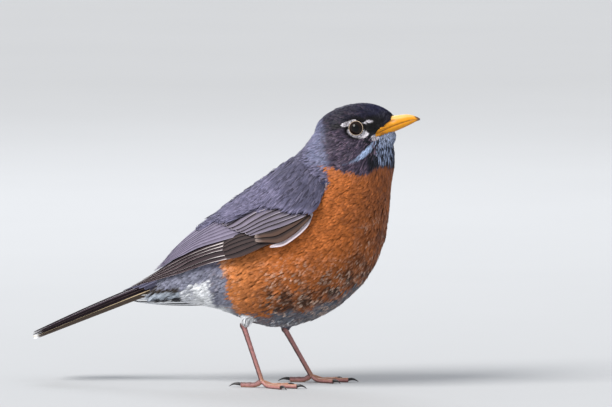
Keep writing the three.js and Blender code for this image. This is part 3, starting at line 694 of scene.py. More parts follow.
def marking(p, chance, hair, on_wing=0.0):
    """Colour and pale fringe of the plumage at points p.

    Chance is a random share per body feather, and hair one per strand of it.
    """
    q = coat_spots(p, chance, hair)
    colour, fringe = lay_breast(q, mantle_colour(q), np.full(q.count, 0.4), on_wing)
    colour, fringe = lay_rear(q, colour, fringe)
    colour = lay_throat(q, lay_hood(q, colour))
    colour, marked = lay_face_marks(q, colour)
    bare = np.maximum.reduce([marked, q.throat, q.face])
    return colour, np.where(bare > 0.4, 0.0, fringe)


# -------- finishes


def node(tree, kind, inputs=None, **settings):
    made = tree.nodes.new(kind)
    for key, value in settings.items():
        setattr(made, key, value)
    for key, value in (inputs or {}).items():
        if isinstance(value, bpy.types.NodeSocket):
            tree.links.new(value, made.inputs[key])
        else:
            made.inputs[key].default_value = value
    return made


def math_node(tree, operation, *values):
    return node(tree, "ShaderNodeMath", dict(enumerate(values)), operation=operation).outputs[0]


def blend_node(tree, factor, a, b, mode="MIX"):
    made = node(tree, "ShaderNodeMix", {0: factor, 6: a, 7: b}, data_type="RGBA", blend_type=mode)
    return made.outputs[2]


def ramp_node(tree, value, low, high, to_low=0.0, to_high=1.0):
    made = node(tree, "ShaderNodeMapRange", {
        "Value": value, "From Min": low, "From Max": high, "To Min": to_low, "To Max": to_high,
    }, interpolation_type="SMOOTHSTEP")
    return made.outputs[0]


def new_group(name, inputs, outputs):
    group = bpy.data.node_groups.new(name, "ShaderNodeTree")
    for label, kind, value in inputs:
        socket = group.interface.new_socket(label, in_out="INPUT", socket_type=kind)
        if value is not None:
            socket.default_value = value
    for label, kind in outputs:
        group.interface.new_socket(label, in_out="OUTPUT", socket_type=kind)
    return group, group.nodes.new("NodeGroupInput"), group.nodes.new("NodeGroupOutput")


def barbs_group():
    """Fine barbs slanting from a feather's shaft, and how they catch or lose the light."""
    group, given, result = new_group(
        "barbs",
        [("Vane", "NodeSocketVector", None), ("Spacing", "NodeSocketFloat", 0.35),
         ("Slant", "NodeSocketFloat", 1.2)],
        [("Height", "NodeSocketFloat"), ("Shade", "NodeSocketFloat")],
    )
    parts = node(group, "ShaderNodeSeparateXYZ", {0: given.outputs["Vane"]}).outputs
    aside = math_node(group, "ABSOLUTE", parts[0])
    slanted = math_node(group, "MULTIPLY_ADD", aside, given.outputs["Slant"], 0.0)
    place = math_node(group, "SUBTRACT", parts[1], slanted)
    wobble = node(group, "ShaderNodeTexNoise",
                  {"Vector": given.outputs["Vane"], "Scale": 0.9, "Detail": 2.0})
    place = math_node(group, "ADD", place, wobble.outputs[0])
    turns = math_node(group, "DIVIDE", place, given.outputs["Spacing"])
    wave = math_node(group, "SINE", math_node(group, "MULTIPLY", turns, 6.2832))
    height = math_node(group, "MULTIPLY_ADD", wave, 0.5, 0.5)
    group.links.new(height, result.inputs["Height"])
    shade = math_node(group, "MULTIPLY_ADD", height, 0.14, 0.92)
    group.links.new(shade, result.inputs["Shade"])
    return group


def mottle_group():
    """Slow and fast variation of a surface, round one."""
    group, given, result = new_group(
        "mottle",
        [("Coordinate", "NodeSocketVector", None), ("Scale", "NodeSocketFloat", 150.0),
         ("Amount", "NodeSocketFloat", 0.3)],
        [("Shade", "NodeSocketFloat"), ("Height", "NodeSocketFloat")],
    )
    slow = node(group, "ShaderNodeTexNoise", {"Vector": given.outputs["Coordinate"],
                "Scale": given.outputs["Scale"], "Detail": 4.0, "Roughness": 0.6})
    centred = math_node(group, "SUBTRACT", slow.outputs[0], 0.5)
    scaled = math_node(group, "MULTIPLY", centred, given.outputs["Amount"])
    shade = math_node(group, "MULTIPLY_ADD", scaled, 2.0, 1.0)
    group.links.new(shade, result.inputs["Shade"])
    group.links.new(slow.outputs[0], result.inputs["Height"])
    return group


BARBS = barbs_group()
MOTTLE = mottle_group()


def use_group(tree, group, **inputs):
    return node(tree, "ShaderNodeGroup", inputs, node_tree=group).outputs


def shader(name, roughness=0.6, **constants):
    """A new material and its tree and shader, with plain numbers on the shader's own sockets."""
    material = bpy.data.materials.new(name)
    material.use_nodes = True
    tree = material.node_tree
    surface = tree.nodes["Principled BSDF"]
    surface.inputs["Roughness"].default_value = roughness
    for key, value in constants.items():
        surface.inputs[key.replace("_", " ")].default_value = value
    return material, tree, surface


def read(tree, attribute, output):
    return node(tree, "ShaderNodeAttribute", attribute_name=attribute).outputs[output]


def coat_colour(tree):
    return read(tree, "coat", "Color")


def set_base(tree, surface, colour):
    tree.links.new(colour, surface.inputs["Base Color"])


def object_coordinate(tree):
    return node(tree, "ShaderNodeTexCoord").outputs["Object"]


def bumped(tree, surface, height, strength, distance):
    """Relief on a shader. The distance is in metres."""
    bump = node(tree, "ShaderNodeBump", {"Height": height, "Strength": strength, "Distance": distance})
    tree.links.new(bump.outputs[0], surface.inputs["Normal"])


def mottled_finish(name, roughness, colour, scale, amount, bump=None, **constants):
    """A plain or painted surface with mottle over it, and relief from the mottle or a finer grain."""
    material, tree, surface = shader(name, roughness, **constants)
    coordinate = object_coordinate(tree)
    mottle = use_group(tree, MOTTLE, Coordinate=coordinate, Scale=scale, Amount=amount)
    colour = coat_colour(tree) if colour is None else colour
    shaded = blend_node(tree, 1.0, colour, mottle["Shade"], mode="MULTIPLY")
    set_base(tree, surface, shaded)
    if bump:
        bumped(tree, surface, mottle["Height"], *bump)
    return material


def down_finish(name, fringe_colour, roughness, **constants):
    """Small body feathers: their marking, a pale fringe, roots darkened by their own grey down and by
    painted shade, and fine barbs.
    """
    material, tree, surface = shader(name, roughness, Sheen_Weight=0.12, **constants)
    vane = read(tree, "vane", "Vector")
    along = node(tree, "ShaderNodeSeparateXYZ", {0: vane}).outputs[2]
    barbs = use_group(tree, BARBS, Vane=vane, Spacing=0.3)
    mottle = use_group(tree, MOTTLE, Coordinate=object_coordinate(tree), Scale=300.0, Amount=0.3)
    # Darker roots: partly their own grey down, partly painted shade under the feathers above.
    root_down_and_shade = ramp_node(tree, along, 0.4, 0.85, 0.6, 1.0)
    shade = math_node(tree, "MULTIPLY", barbs["Shade"], mottle["Shade"])
    shade = math_node(tree, "MULTIPLY", shade, root_down_and_shade)
    shaded = blend_node(tree, 1.0, coat_colour(tree), shade, mode="MULTIPLY")
    ragged = math_node(tree, "MULTIPLY_ADD", mottle["Height"], 0.3, -0.15)
    tip = ramp_node(tree, math_node(tree, "ADD", along, ragged), 0.62, 0.84)
    mask = math_node(tree, "MULTIPLY", tip, read(tree, "fringe", "Fac"))
    fringed = blend_node(tree, mask, shaded, (*PAINT[fringe_colour], 1))
    set_base(tree, surface, fringed)
    bumped(tree, surface, barbs["Height"], 0.3, 0.00004)
    return material


def vane_finish(name, roughness, barb_depth, barb_shade=True, **constants):
    """Wing and tail feathers: a crisp pale rim, a dark shaft and close barbs."""
    material, tree, surface = shader(name, roughness, **constants)
    vane = read(tree, "vane", "Vector")
    barbs = use_group(tree, BARBS, Vane=vane, Spacing=0.42, Slant=1.6)
    mottle = use_group(tree, MOTTLE, Coordinate=object_coordinate(tree), Scale=200.0, Amount=0.3)
    shade = mottle["Shade"]
    if barb_shade:
        shade = math_node(tree, "MULTIPLY", barbs["Shade"], shade)
    shaded = blend_node(tree, 1.0, coat_colour(tree), shade, mode="MULTIPLY")
    aside = math_node(tree, "ABSOLUTE", node(tree, "ShaderNodeSeparateXYZ", {0: vane}).outputs[0])
    shaft = ramp_node(tree, aside, 0.1, 0.26, 0.4, 0.0)
    shafted = blend_node(tree, shaft, shaded, (0.012, 0.009, 0.009, 1))
    edged = blend_node(tree, read(tree, "rim", "Fac"), shafted, read(tree, "edge", "Color"))
    set_base(tree, surface, edged)
    bumped(tree, surface, barbs["Height"], barb_depth, 0.00005)
    return material


# -------- the skin


def solid_mesh(name):
    """A solid's welded points, their normals and its faces, in the bird's millimetres."""
    made = bmesh.new()
    made.from_mesh(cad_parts[name].data)
    bmesh.ops.remove_doubles(made, verts=made.verts, dist=1e-6)
    bmesh.ops.recalc_face_normals(made, faces=made.faces)
    made.verts.ensure_lookup_table()
    points = np.array([v.co for v in made.verts]) * PER_METRE - SHIFT
    normals = np.array([v.normal for v in made.verts])
    faces = np.array([[v.index for v in f.verts] for f in made.faces])
    made.free()
    return points, normals, faces


def mesh_arrays(mesh):
    """Points in the bird's millimetres and quads of a mesh."""
    points = np.zeros(len(mesh.vertices) * 3, np.float32)
    mesh.vertices.foreach_get("co", points)
    faces = np.array([f.vertices[:] for f in mesh.polygons])
    return points.reshape(-1, 3).astype(float) * PER_METRE - SHIFT, faces


def point_normals(points, faces):
    """Normals of a surface of quads at its points."""
    normals = np.zeros_like(points)
    a, b, c, d = (points[faces[:, k]] for k in range(4))
    face = np.cross(c - a, d - b)
    for k in range(4):
        np.add.at(normals, faces[:, k], face)
    return unit(normals)


def relax(points, faces, rounds):
    """Evens a surface without shrinking it: points go towards their neighbours and back."""
    edges = np.concatenate([faces[:, [k, (k + 1) % 4]] for k in range(4)])
    edges = np.unique(np.sort(edges, 1), axis=0)
    count = np.zeros(len(points))
    np.add.at(count, edges.ravel(), 1)
    for share in EVENING_SHARES * rounds:
        total = np.stack([
            np.bincount(edges.ravel(), points[edges[:, ::-1].ravel(), axis], len(points))
            for axis in range(3)
        ], 1)
        points = points + share * (total / count[:, None] - points)
    return points


FLESH = ["head", "neck", "trunk", "rump", "thigh_left", "thigh_right",
         "wing_shoulder_left", "wing_shoulder_right"]
COAT_PLACES = np.array([row[0] for row in COAT.values()], float)
COAT_SIZES = np.array([row[1:] for row in COAT.values()], float)
MIRRORED = [not name.endswith("thigh") for name in COAT]
SWELL = 0.3  # how far the solids of flesh are swollen to run into one
UNDER_DOWN = 0.15  # further depth of the skin under the feathers
EVENING_SHARES = (0.5, -0.52)  # how far points go towards their neighbours, and back
SKIN_CELL = 0.0009  # size of the cells that the flesh is joined in, in metres
SADDLE_DEPTH = 1.7


def coat_at(p):
    """Spacing, length, half width and lift of the coat at points p."""
    places = np.repeat(p[:, None, :], len(COAT_PLACES), 1)
    places[:, MIRRORED, 1] = np.abs(places[:, MIRRORED, 1])
    near = 1 / (np.linalg.norm(places - COAT_PLACES, axis=-1) + 0.5) ** 4
    return (near / near.sum(1, keepdims=True)) @ COAT_SIZES


def head_loft():
    """The head, finer than its solid."""
    stations = curve(HEAD_STATIONS, np.linspace(0, 1, 44))
    angle = full_turn(64)
    at, top, bottom, half = (stations[:, k, None] for k in range(4))
    above = (top + bottom) / 2 + np.cos(angle) * (top - bottom) / 2
    return loft(head_point(at + 0 * angle, np.sin(angle) * half, above))


def saddle(p):
    """Lowers the middle of the back a little, where it dips behind the mantle."""
    x, y, z = p[..., 0], p[..., 1], p[..., 2]
    dip = smooth(16, -8, x) * smooth(-66, -40, x) * smooth(22, 12, np.abs(y))
    dip = dip * smooth(70, 76, z - 0.3 * x)
    return p - np.stack([0 * dip, 0 * dip, SADDLE_DEPTH * dip], -1)


def skin_surface():
    """One skin round all the flesh, drawn in under the coat and fitted to bill, eyes and back."""
    parts = []
    for name in FLESH:
        points, normals, faces = solid_mesh(name)
        parts.append((points + normals * SWELL, [faces]))
    rough = make_mesh("flesh", *joined([*parts, head_loft()]))
    lump = bpy.data.objects.new("flesh", rough)
    bpy.context.scene.collection.objects.link(lump)
    remesh = lump.modifiers.new("one_skin", "REMESH")
    remesh.mode = "VOXEL"
    remesh.voxel_size = SKIN_CELL
    bpy.context.view_layer.update()
    made = bpy.data.meshes.new_from_object(lump.evaluated_get(bpy.context.evaluated_depsgraph_get()))
    points, faces = largest_island(*mesh_arrays(made))
    bpy.data.objects.remove(lump)
    bpy.data.meshes.remove(rough)
    bpy.data.meshes.remove(made)
    points = relax(points, faces, rounds=30)
    depth = coat_at(points)[:, 3] + UNDER_DOWN + SWELL / 2
    points = relax(points - point_normals(points, faces) * depth[:, None], faces, rounds=8)
    return saddle(sink_eyes(fit_bill(points))), faces


def bill_rows(at):
    """The bill's ridge, edge, keel and half width at places along it."""
    row = np.array(BILL_STATIONS, float).T
    return (np.interp(at, row[0], row[k]) for k in (1, 2, 3, 4))


def bill_width(at, above):
    """Half the bill's width at a place in the head's axes, none above its ridge or below its keel."""
    ridge, edge, keel, half = bill_rows(at)
    up = np.where(above > edge, (above - edge) / (ridge - edge), (edge - above) / (edge - keel))
    return half * np.sqrt(1 - np.clip(up, 0, 1) ** 2.7), ridge


def behind_bill_line(at, above):
    """How far a place lies behind the line where the feathers stop over the bill."""
    ahead, up = np.array(BILL_FEATHER_LINE).T
    return np.interp(above, up, ahead) - at


def fit_bill(points):
    """Draws the forehead and lores out over the bill's base, behind the line of their feathers."""
    at, aside, above = head_axes(points)
    wide, ridge = bill_width(at, above)
    behind = smooth(-0.6, 0.6, behind_bill_line(at, above)) * smooth(8, 10, at) * (above > -6.5)
    wanted = np.maximum(np.abs(aside), (wide + 0.25) * (above < ridge))
    aside = aside + np.sign(aside) * (wanted - np.abs(aside)) * behind
    # Ahead of the line the skin keeps inside the bill, down to the corner of the mouth.
    bare = smooth(0.4, -0.4, behind_bill_line(at, above)) * (wide > 2.5) * (at < 20)
    aside = aside + np.sign(aside) * np.minimum(wide - 0.4 - np.abs(aside), 0) * bare
    raised = np.maximum(above, ridge + 0.25)
    on_top = behind * (above > ridge - 1.6) * smooth(4.0, 2.0, np.abs(aside))
    above = above + (raised - above) * on_top
    return np.where((at > 7)[:, None], head_point(at, aside, above), points)


def largest_island(points, faces):
    """The largest connected part of a surface of quads."""
    label = np.arange(len(points))
    changed = True
    while changed:
        low = label[faces].min(1)
        before = label.copy()
        for k in range(4):
            np.minimum.at(label, faces[:, k], low)
        label = label[label]
        changed = (label != before).any()
    names, counts = np.unique(label, return_counts=True)
    keep = label == names[counts.argmax()]
    index = np.cumsum(keep) - 1
    return points[keep], index[faces[keep[faces[:, 0]]]]


def sink_eyes(points):
    """Draws the skin down to the lids, in a shallow bowl round each eye."""
    points = points.copy()
    for side in SIDES:
        height, away = off_eye_axis(points, side)
        radius = np.linalg.norm(away, axis=1)
        ball = np.sqrt(np.maximum(EYE_RADIUS**2 - radius**2, 0))
        under_lid = ball - 0.5 * smooth(EYE_OPENING, 3.4, radius)
        floor = np.where(radius < EYE_OPENING, under_lid, ball + 0.3)
        ease = smooth(EYE_OPENING, EYE_BOWL, radius)
        wanted = np.minimum(height, floor) * (1 - ease) + height * ease
        moved = (height > 0) & (radius < EYE_BOWL)
        points[moved] += ((wanted - height)[:, None] * EYE_AXES[side])[moved]
    return points


def eyelids():
    """Bare rims round the eyes, one beaded ring each, lying on the eyeball."""
    around, across = 96, 12
    parts = []
    for side in SIDES:
        turn, tube = full_turn(around)[:, None], full_turn(across)[None, :]
        bead = 0.04 * np.sin(turn * 26)
        radius = EYE_RIM + (0.15 + bead) * np.cos(tube) + 0 * turn
        height = math.sqrt(EYE_RADIUS**2 - EYE_RIM**2) + 0.12 + (0.24 + bead) * np.sin(tube)
        out = ring_ways(turn, *eye_ring_axes(side))
        ring = EYES[side] + out * radius[..., None] + height[..., None] * EYE_AXES[side]
        faces = grid_faces(around + 1, across, wrap=True) % (around * across)
        parts.append(turned_out(ring.reshape(-1, 3), [faces]))
    return joined(parts)


SPINE = np.array([  # x, z
    (-92, 52), (-60, 56), (-30, 66), (-8, 78), (10, 92),
    (24, 108), (34, 124), (42, 136), (50, 140), (66, 142),
], float)
MAP_START, MAP_LENGTH, MAP_WIDTH = 0.02, 0.95, 0.93  # the bake map's margin and reach


def unwrap(p):
    """A place on the unwrapped skin: along the spine, and round it."""
    lengths = np.linalg.norm(np.diff(SPINE, axis=0), axis=1)
    starts = np.concatenate([[0], np.cumsum(lengths)])
    best = np.full(len(p), 1e9)
    along = np.zeros(len(p))
    rise = np.zeros(len(p))
    for i in range(len(SPINE) - 1):
        d = (SPINE[i + 1] - SPINE[i]) / lengths[i]
        q = p[:, [0, 2]] - SPINE[i]
        t = np.clip(q @ d, 0, lengths[i])
        away = q - t[:, None] * d
        far = np.hypot(away[:, 0], away[:, 1])
        near = far < best
        best = np.where(near, far, best)
        along = np.where(near, starts[i] + t, along)
        rise = np.where(near, q @ np.array([-d[1], d[0]]), rise)
    turn = np.arctan2(p[:, 1], rise) / (2 * math.pi) + 0.5
    return np.stack([MAP_START + MAP_LENGTH * along / starts[-1], MAP_START + MAP_WIDTH * turn], 1)


skin_points, skin_faces = skin_surface()
skin_normals = point_normals(skin_points, skin_faces)


def add_skin():
    """The skin with its eyelids, in the coat's own colours, darker."""
    lids, lid_faces = eyelids()
    points, faces = joined([(skin_points, [skin_faces]), (lids, lid_faces)])
    mesh = make_mesh("skin", points, faces)
    middling = np.full(len(points), 0.5)
    colour = marking(points, middling, middling)[0] * 0.7
    colour[len(skin_points):] = PAINT["rim"]
    set_colour(mesh, "coat", colour)
    places = unwrap(points)[corners(faces)].reshape(-1, 4, 2)
    turn = places[:, :, 1]
    # Faces across the seam lie past its far side.
    torn = (turn.max(1) - turn.min(1)) > 0.5
    places[torn, :, 1] = np.where(turn[torn] < 0.5, turn[torn] + MAP_WIDTH, turn[torn])
    set_bake_map(mesh, places)
    finish = mottled_finish("skin_under_down", 0.85, None, 900.0, 0.5, bump=(0.5, 0.0002))
    add_piece("skin", mesh, finish, FLESH)


# -------- the coat of small feathers

STRANDS_WIDE = 4.0  # width of a body feather, in spacings of its strands
FEATHERS_TRIED = 14  # nearest body feathers that a strand may belong to
WIDEST = 0.45  # share of the way down a body feather where it rounds off
BILL_BASE = head_point(12.0, 0.0, -3.0)
BACK_LIE = np.array([-0.78, 0.0, -0.62])
BODY_LIE = np.array([-0.86, 0.0, -0.5])
THIGH_LIE = np.array([-0.25, 0.0, -0.97])


def lie(p, n):
    """The way the coat lies at points p of the skin, along its surface."""
    from_bill = unit(p - BILL_BASE)
    far = np.linalg.norm(p - BILL_BASE, axis=1)
    upper = smooth(0.1, 0.7, n[:, 2])[:, None]
    rearwards = mixed((BODY_LIE, BACK_LIE), upper)
    thigh = smooth(41, 37, p[:, 2]) * (p[:, 0] < 14) * (p[:, 0] > -30) * (np.abs(p[:, 1]) > 6)
    rearwards = mixed((rearwards, THIGH_LIE), thigh[:, None])
    away = smooth(20, 42, far)[:, None]
    wanted = from_bill * (1 - away) + rearwards * away
    # Round the eye the coat parts and closes again.
    for side in SIDES:
        height, out = off_eye_axis(p, side)
        near = smooth(8.5, 5.0, np.linalg.norm(out, axis=1)) * (height > 0)
        out = unit(out)
        inwards = np.minimum(np.einsum("ij,ij->i", wanted, out), 0)
        wanted = wanted - out * (inwards * near)[:, None]
    return unit(wanted - n * np.einsum("ij,ij->i", wanted, n)[:, None])


def blade(outline, middle):
    """A closed blade: outline points anticlockwise as [across, along], one middle on each face."""
    edge = np.array(outline, float)
    count = len(edge)
    points = np.zeros((count + 2, 3))
    points[:count, :2] = edge
    points[count] = (0, middle, 1)
    points[count + 1] = (0, middle, -1)
    k = np.arange(count)
    n = (k + 1) % count
    top = np.stack([k, n, np.full(count, count)], 1)
    under = np.stack([n, k, np.full(count, count + 1)], 1)
    return points, np.concatenate([top, under])


BLADES = {
    "loose": blade([(0.2, 0), (0.9, 0.28), (1.0, 0.6), (0.62, 0.74), (0.66, 0.92), (0.24, 0.84),
                    (0.0, 1.04), (-0.3, 0.82), (-0.6, 0.96), (-0.72, 0.76), (-1.0, 0.56), (-0.86, 0.26),
                    (-0.2, 0)], 0.5),
    "neat": blade([(0.1, 0), (0.6, 0.2), (0.95, 0.5), (0.98, 0.72), (0.8, 0.88), (0.5, 0.95),
                   (0.24, 0.94), (0, 1.02), (-0.25, 0.95), (-0.55, 0.95), (-0.82, 0.86),
                   (-0.98, 0.7), (-0.9, 0.45), (-0.55, 0.18), (-0.1, 0)], 0.55),
    "short": blade([(0.15, 0), (0.8, 0.35), (0.9, 0.65), (0.45, 0.86), (0.1, 1.0), (-0.2, 0.86),
                    (-0.5, 0.97), (-0.9, 0.62), (-0.8, 0.33), (-0.15, 0)], 0.5),
    "streak": blade([(0.25, 0), (0.95, 0.3), (0.8, 0.68), (0.1, 1), (-0.8, 0.64), (-0.9, 0.28),
                     (-0.25, 0)], 0.45),
}

skin_tree = BVHTree.FromPolygons(skin_points.tolist(), skin_faces.tolist())


def onto_skin(points):
    """Nearest places on the skin and its normals there."""
    places = np.zeros_like(points)
    normals = np.zeros_like(points)
    for i, p in enumerate(points):
        places[i], _, index, _ = skin_tree.find_nearest(p.tolist())
        normals[i] = skin_normals[skin_faces[index]].mean(0)
    return places, unit(normals)


def picked(places, spacing, levels, cell_size):
    """Random places, one from each cell, in cells that grow with the spacing by even levels."""
    level = np.round(np.log(spacing) * levels).astype(int)
    cell = np.floor(places / np.exp(level / levels)[:, None] / cell_size + 1000).astype(int)
    order = rng.permutation(len(places))
    _, first = np.unique(np.column_stack([cell, level])[order], axis=0, return_index=True)
    return order[first]


def scatter_roots():
    """Places of feather roots on the skin, closer together where the coat is finer."""
    a, b, c, d = (skin_points[skin_faces[:, k]] for k in range(4))
    area = np.linalg.norm(np.cross(c - a, d - b), axis=1) / 2
    spacing = coat_at((a + c) / 2)[:, 0]
    count = rng.poisson(area / spacing**2 * TRIAL_ROOTS)
    face = np.repeat(np.arange(len(skin_faces)), count)
    u, v = rng.random((2, len(face), 1))
    places = (a[face] * (1 - u) + b[face] * u) * (1 - v) + (d[face] * (1 - u) + c[face] * u) * v
    return places[picked(places, spacing[face], 12, 1.18)]


TRIAL_ROOTS = 5.5  # roots tried for each one wanted
WING_COVER = ["greater_coverts", "alula", "primary_coverts", "secondaries", "primaries"]
WING_REACH = 16  # how far over the skin a wing's feathers still hide the coat


def under_wings(points, normals):
    """Whether a wing's feathers lie over each place."""
    covers = []
    for group in WING_COVER:
        for side in SIDES:
            p, _, f = solid_mesh(f"wing_{group}_{side}")
            covers.append(BVHTree.FromPolygons(p.tolist(), f.tolist()))
    hidden = np.zeros(len(points), bool)
    for i, (p, n) in enumerate(zip(points.tolist(), normals.tolist())):
        hidden[i] = any(cover.ray_cast(p, n, WING_REACH)[0] is not None for cover in covers)
    return hidden


def bill_room(p):
    """Whether points lie ahead of the line of feathers over the bill, or inside it."""
    at, aside, above = head_axes(p)
    wide, ridge = bill_width(at, above)
    ahead = (at > 9) & (above > -7.3) & (behind_bill_line(at, above) < 0.1)
    inside = (at > 9) & (above < ridge) & (above > -8.5 + 0.1 * at) & (np.abs(aside) < wide - 0.1)
    return ahead | inside


def stray_turn(d, n, turn):
    """Directions d turned a little about the normals n."""
    return unit(d + np.cross(n, d) * turn[:, None])


def grow_coat():
    """Every strand of the small feathers: root, middle and tip with their normals, and sizes."""
    roots, n0 = onto_skin(scatter_roots())
    sizes = np.column_stack([coat_at(roots), np.zeros(len(roots))])
    length = sizes[:, 1] * rng.normal(1, 0.12, len(roots)).clip(0.7, 1.35)
    _, reach = polar_round_eye(roots)
    at_eye = (reach < 8) & (np.abs(head_axes(roots)[1]) > 5)
    keep = ~(at_eye & (reach < 4.15)) & ~bill_room(roots)
    # None grow where the tail leaves the rump.
    keep &= ~((roots[:, 0] < -62) & (n0[:, 0] < -0.8)) & ~((roots[:, 0] < -64) & (roots[:, 2] > 55))
    length = np.where(at_eye, np.minimum(length, np.maximum(0.9, (reach - 4.1) * 1.3)), length)
    roots, n0, sizes, length = roots[keep], n0[keep], sizes[keep], length[keep]
    spin = rng.normal(0, 0.09, len(roots))
    d0 = stray_turn(lie(roots, n0), n0, spin)
    middle, n1 = onto_skin(roots + d0 * (length / 2)[:, None])
    d1 = stray_turn(lie(middle, n1), n1, spin)
    tip, n2 = onto_skin(middle + d1 * (length / 2)[:, None])
    # Under the tail's base they run straight on, off the skin.
    straight = ((roots[:, 0] < -56) & (roots[:, 2] < 56))[:, None]
    middle = np.where(straight, roots + d0 * (length * 0.5)[:, None], middle)
    tip = np.where(straight, roots + d0 * length[:, None], tip)
    n1, n2 = np.where(straight, n0, n1), np.where(straight, n0, n2)
    keep = ~(under_wings(roots, n0) & under_wings(tip, n2))
    on_skin = [a[keep] for a in (roots, n0, middle, n1, tip, n2, sizes, length)]
    return [np.concatenate(pair) for pair in zip(on_skin, scapular_strands())]


SCAPULAR_EDGE = [  # along the wing's sheet, across it
    (0.1, 0.0), (0.125, 0.06), (0.157, 0.18), (0.183, 0.34), (0.22, 0.46), (0.25, 0.51),
    (0.31, 0.5), (0.355, 0.5), (0.39, 0.49), (0.41, 0.55), (0.425, 0.64), (0.43, 1),
]
SCAPULAR_END = 0.43
SCAPULAR_TRIALS = 9000
WING_SPAN = 130  # length of the wing's sheet


def scapular_strands():
    """Strands that lie over the top of both wings, with their tips along the scapulars' edge."""
    s = rng.uniform(0.05, SCAPULAR_END, SCAPULAR_TRIALS)
    t = rng.uniform(0.0, 1.0, SCAPULAR_TRIALS)
    ragged = rng.normal(0.015, 0.012, SCAPULAR_TRIALS)
    keep = (t > looked_up(s, SCAPULAR_EDGE) + ragged) & (s < SCAPULAR_END - 0.08 * smooth(0.62, 1, t))
    s, t = s[keep], t[keep]
    length = rng.normal(8, 0.8, len(s)) * (0.6 + 0.4 * smooth(0.05, 0.2, s))
    step = length / WING_SPAN
    fall = rng.normal(-0.03, 0.03, len(s))
    rise = 3.3 * smooth(1.02, 0.7, t) * smooth(0.0, 0.17, s)
    rise = rise * smooth(0.45, 0.38, s) - 0.7 * smooth(0.75, 1, t) * smooth(0.4, 0.25, s)

    def sheet(s, t, lift):
        here = wing_point(s, t, lift)
        return here, unit(wing_point(s, t, lift + 1) - here)

    root, n0 = sheet(s - step, t - fall, rise - 0.3)
    middle, n1 = sheet(s - step / 2, t - fall / 2, rise)
    tip, n2 = sheet(s, t, rise)
    sizes = np.tile([1.1, 8, 0.72, 0.9, 1.0], (len(s), 1))
    sizes[:, 3] *= 0.4 + 0.6 * smooth(0.04, 0.2, s)
    both = [np.concatenate([a, a * [1, -1, 1]]) for a in (root, n0, middle, n1, tip, n2)]
    return [*both, np.tile(sizes, (2, 1)), np.tile(length, 2)]


def body_feathers(roots, sizes, way, normals):
    """Gathers the strands into body feathers that overlap like tiles.

    Gives each strand its share of the way down its feather and across it, how near it lies to
    the feather's edge in millimetres, the feather's own random share and its width.
    """
    spacing = sizes[:, 0] * STRANDS_WIDE
    heads = picked(roots, spacing, 8, 1.1)
    tree = KDTree(len(heads))
    for i, k in enumerate(heads):
        tree.insert(roots[k].tolist(), i)
    tree.balance()
    near = np.array([[hit[1] for hit in tree.find_n(p, FEATHERS_TRIED)] for p in roots.tolist()])
    chosen = heads[near]
    offset = roots[:, None] - roots[chosen]
    side = np.cross(normals[chosen], way[chosen])
    along = np.einsum("ijk,ijk->ij", offset, way[chosen]) / (spacing[chosen] * 2.1)
    across = np.einsum("ijk,ijk->ij", offset, side) / (spacing[chosen] * 0.95)
    outline = np.sqrt(np.clip(1 - ((along - WIDEST) / (1 - WIDEST)) ** 2, 0, 1))
    inside = (along > -0.1) & (along < 1) & (np.abs(across) < outline)
    score = np.where(inside, along, -1.0)
    best = score.argmax(1)
    row = np.arange(len(roots))
    along, across = along[row, best], across[row, best]
    out = np.hypot((along - WIDEST) / (1 - WIDEST) * (along > WIDEST), across)
    near_edge = np.clip(1 - out, 0, 1) * spacing
    share = rng.random(len(roots))[chosen[row, best]]
    found = score[row, best] > -1
    return (np.where(found, along, 0.5), np.where(found, across, 0), np.where(found, near_edge, 2.0),
            share, spacing)


def strand_shape(template, strand, body):
    """Points and normals of every strand, and where its points lie across and along it."""
    roots, n0, middle, n1, tip, n2, sizes, length = strand
    down, out = body[:2]
    shape = BLADES[template][0]
    count, size = len(roots), len(shape)
    lift = sizes[:, 3] * rng.normal(1, 0.07, count).clip(0.8, 1.2)
    lift = lift * (0.72 + 0.42 * smooth(0.2, 0.95, down)) + 0.1
    half = sizes[:, 2] * rng.normal(1, 0.12, count).clip(0.7, 1.4)
    jitter = rng.normal(0, 0.045, (count, size, 2))
    x = shape[None, :, 0] + jitter[:, :, 0]
    t = shape[None, :, 1] + jitter[:, :, 1] * (shape[None, :, 1] > 0.6)
    x[:, -2:] = 0
    t[:, -1] = t[:, -2]
    # Strands fan out to the sides of the body feather that they belong to.
    fan = np.cross(n1, unit(tip - roots)) * (out * 0.2 * length * smooth(0.1, 0.8, down))[:, None]
    bottom = (roots + n0 * 0.05)[:, None]
    centre = (middle + fan * 0.4 + n1 * (0.1 + 0.6 * lift)[:, None])[:, None]
    top = (tip + fan + n2 * lift[:, None])[:, None]
    s = t[..., None]
    path = bottom * (1 - s) * (1 - 2 * s) + centre * 4 * s * (1 - s) + top * s * (2 * s - 1)
    run = unit(bottom * (4 * s - 3) + centre * (4 - 8 * s) + top * (4 * s - 1))
    up = n0[:, None] * (1 - s) + n2[:, None] * s
    up = unit(up - run * np.einsum("ijk,ijk->ij", up, run)[..., None])
    across = np.cross(run, up)
    camber = 0.2 * half[:, None] * x**2
    thick = 0.09 * shape[None, :, 2]
    points = path + across * (x * half[:, None])[..., None] + up * (thick - camber)[..., None]
    # Light falls on the coat as on one soft surface, cushioned a little over each body feather.
    cushion = (-0.34 * out)[:, None, None] * across - (0.2 * (down - 0.5))[:, None, None] * run
    turn = rng.normal(0, 0.06, (count, 1, 1))
    normals = unit(up + across * (0.16 * x[..., None] + turn) - cushion)
    normals[:, -1] *= -1
    return points, normals, x, t, np.stack([x * half[:, None], t * length[:, None], t], -1)


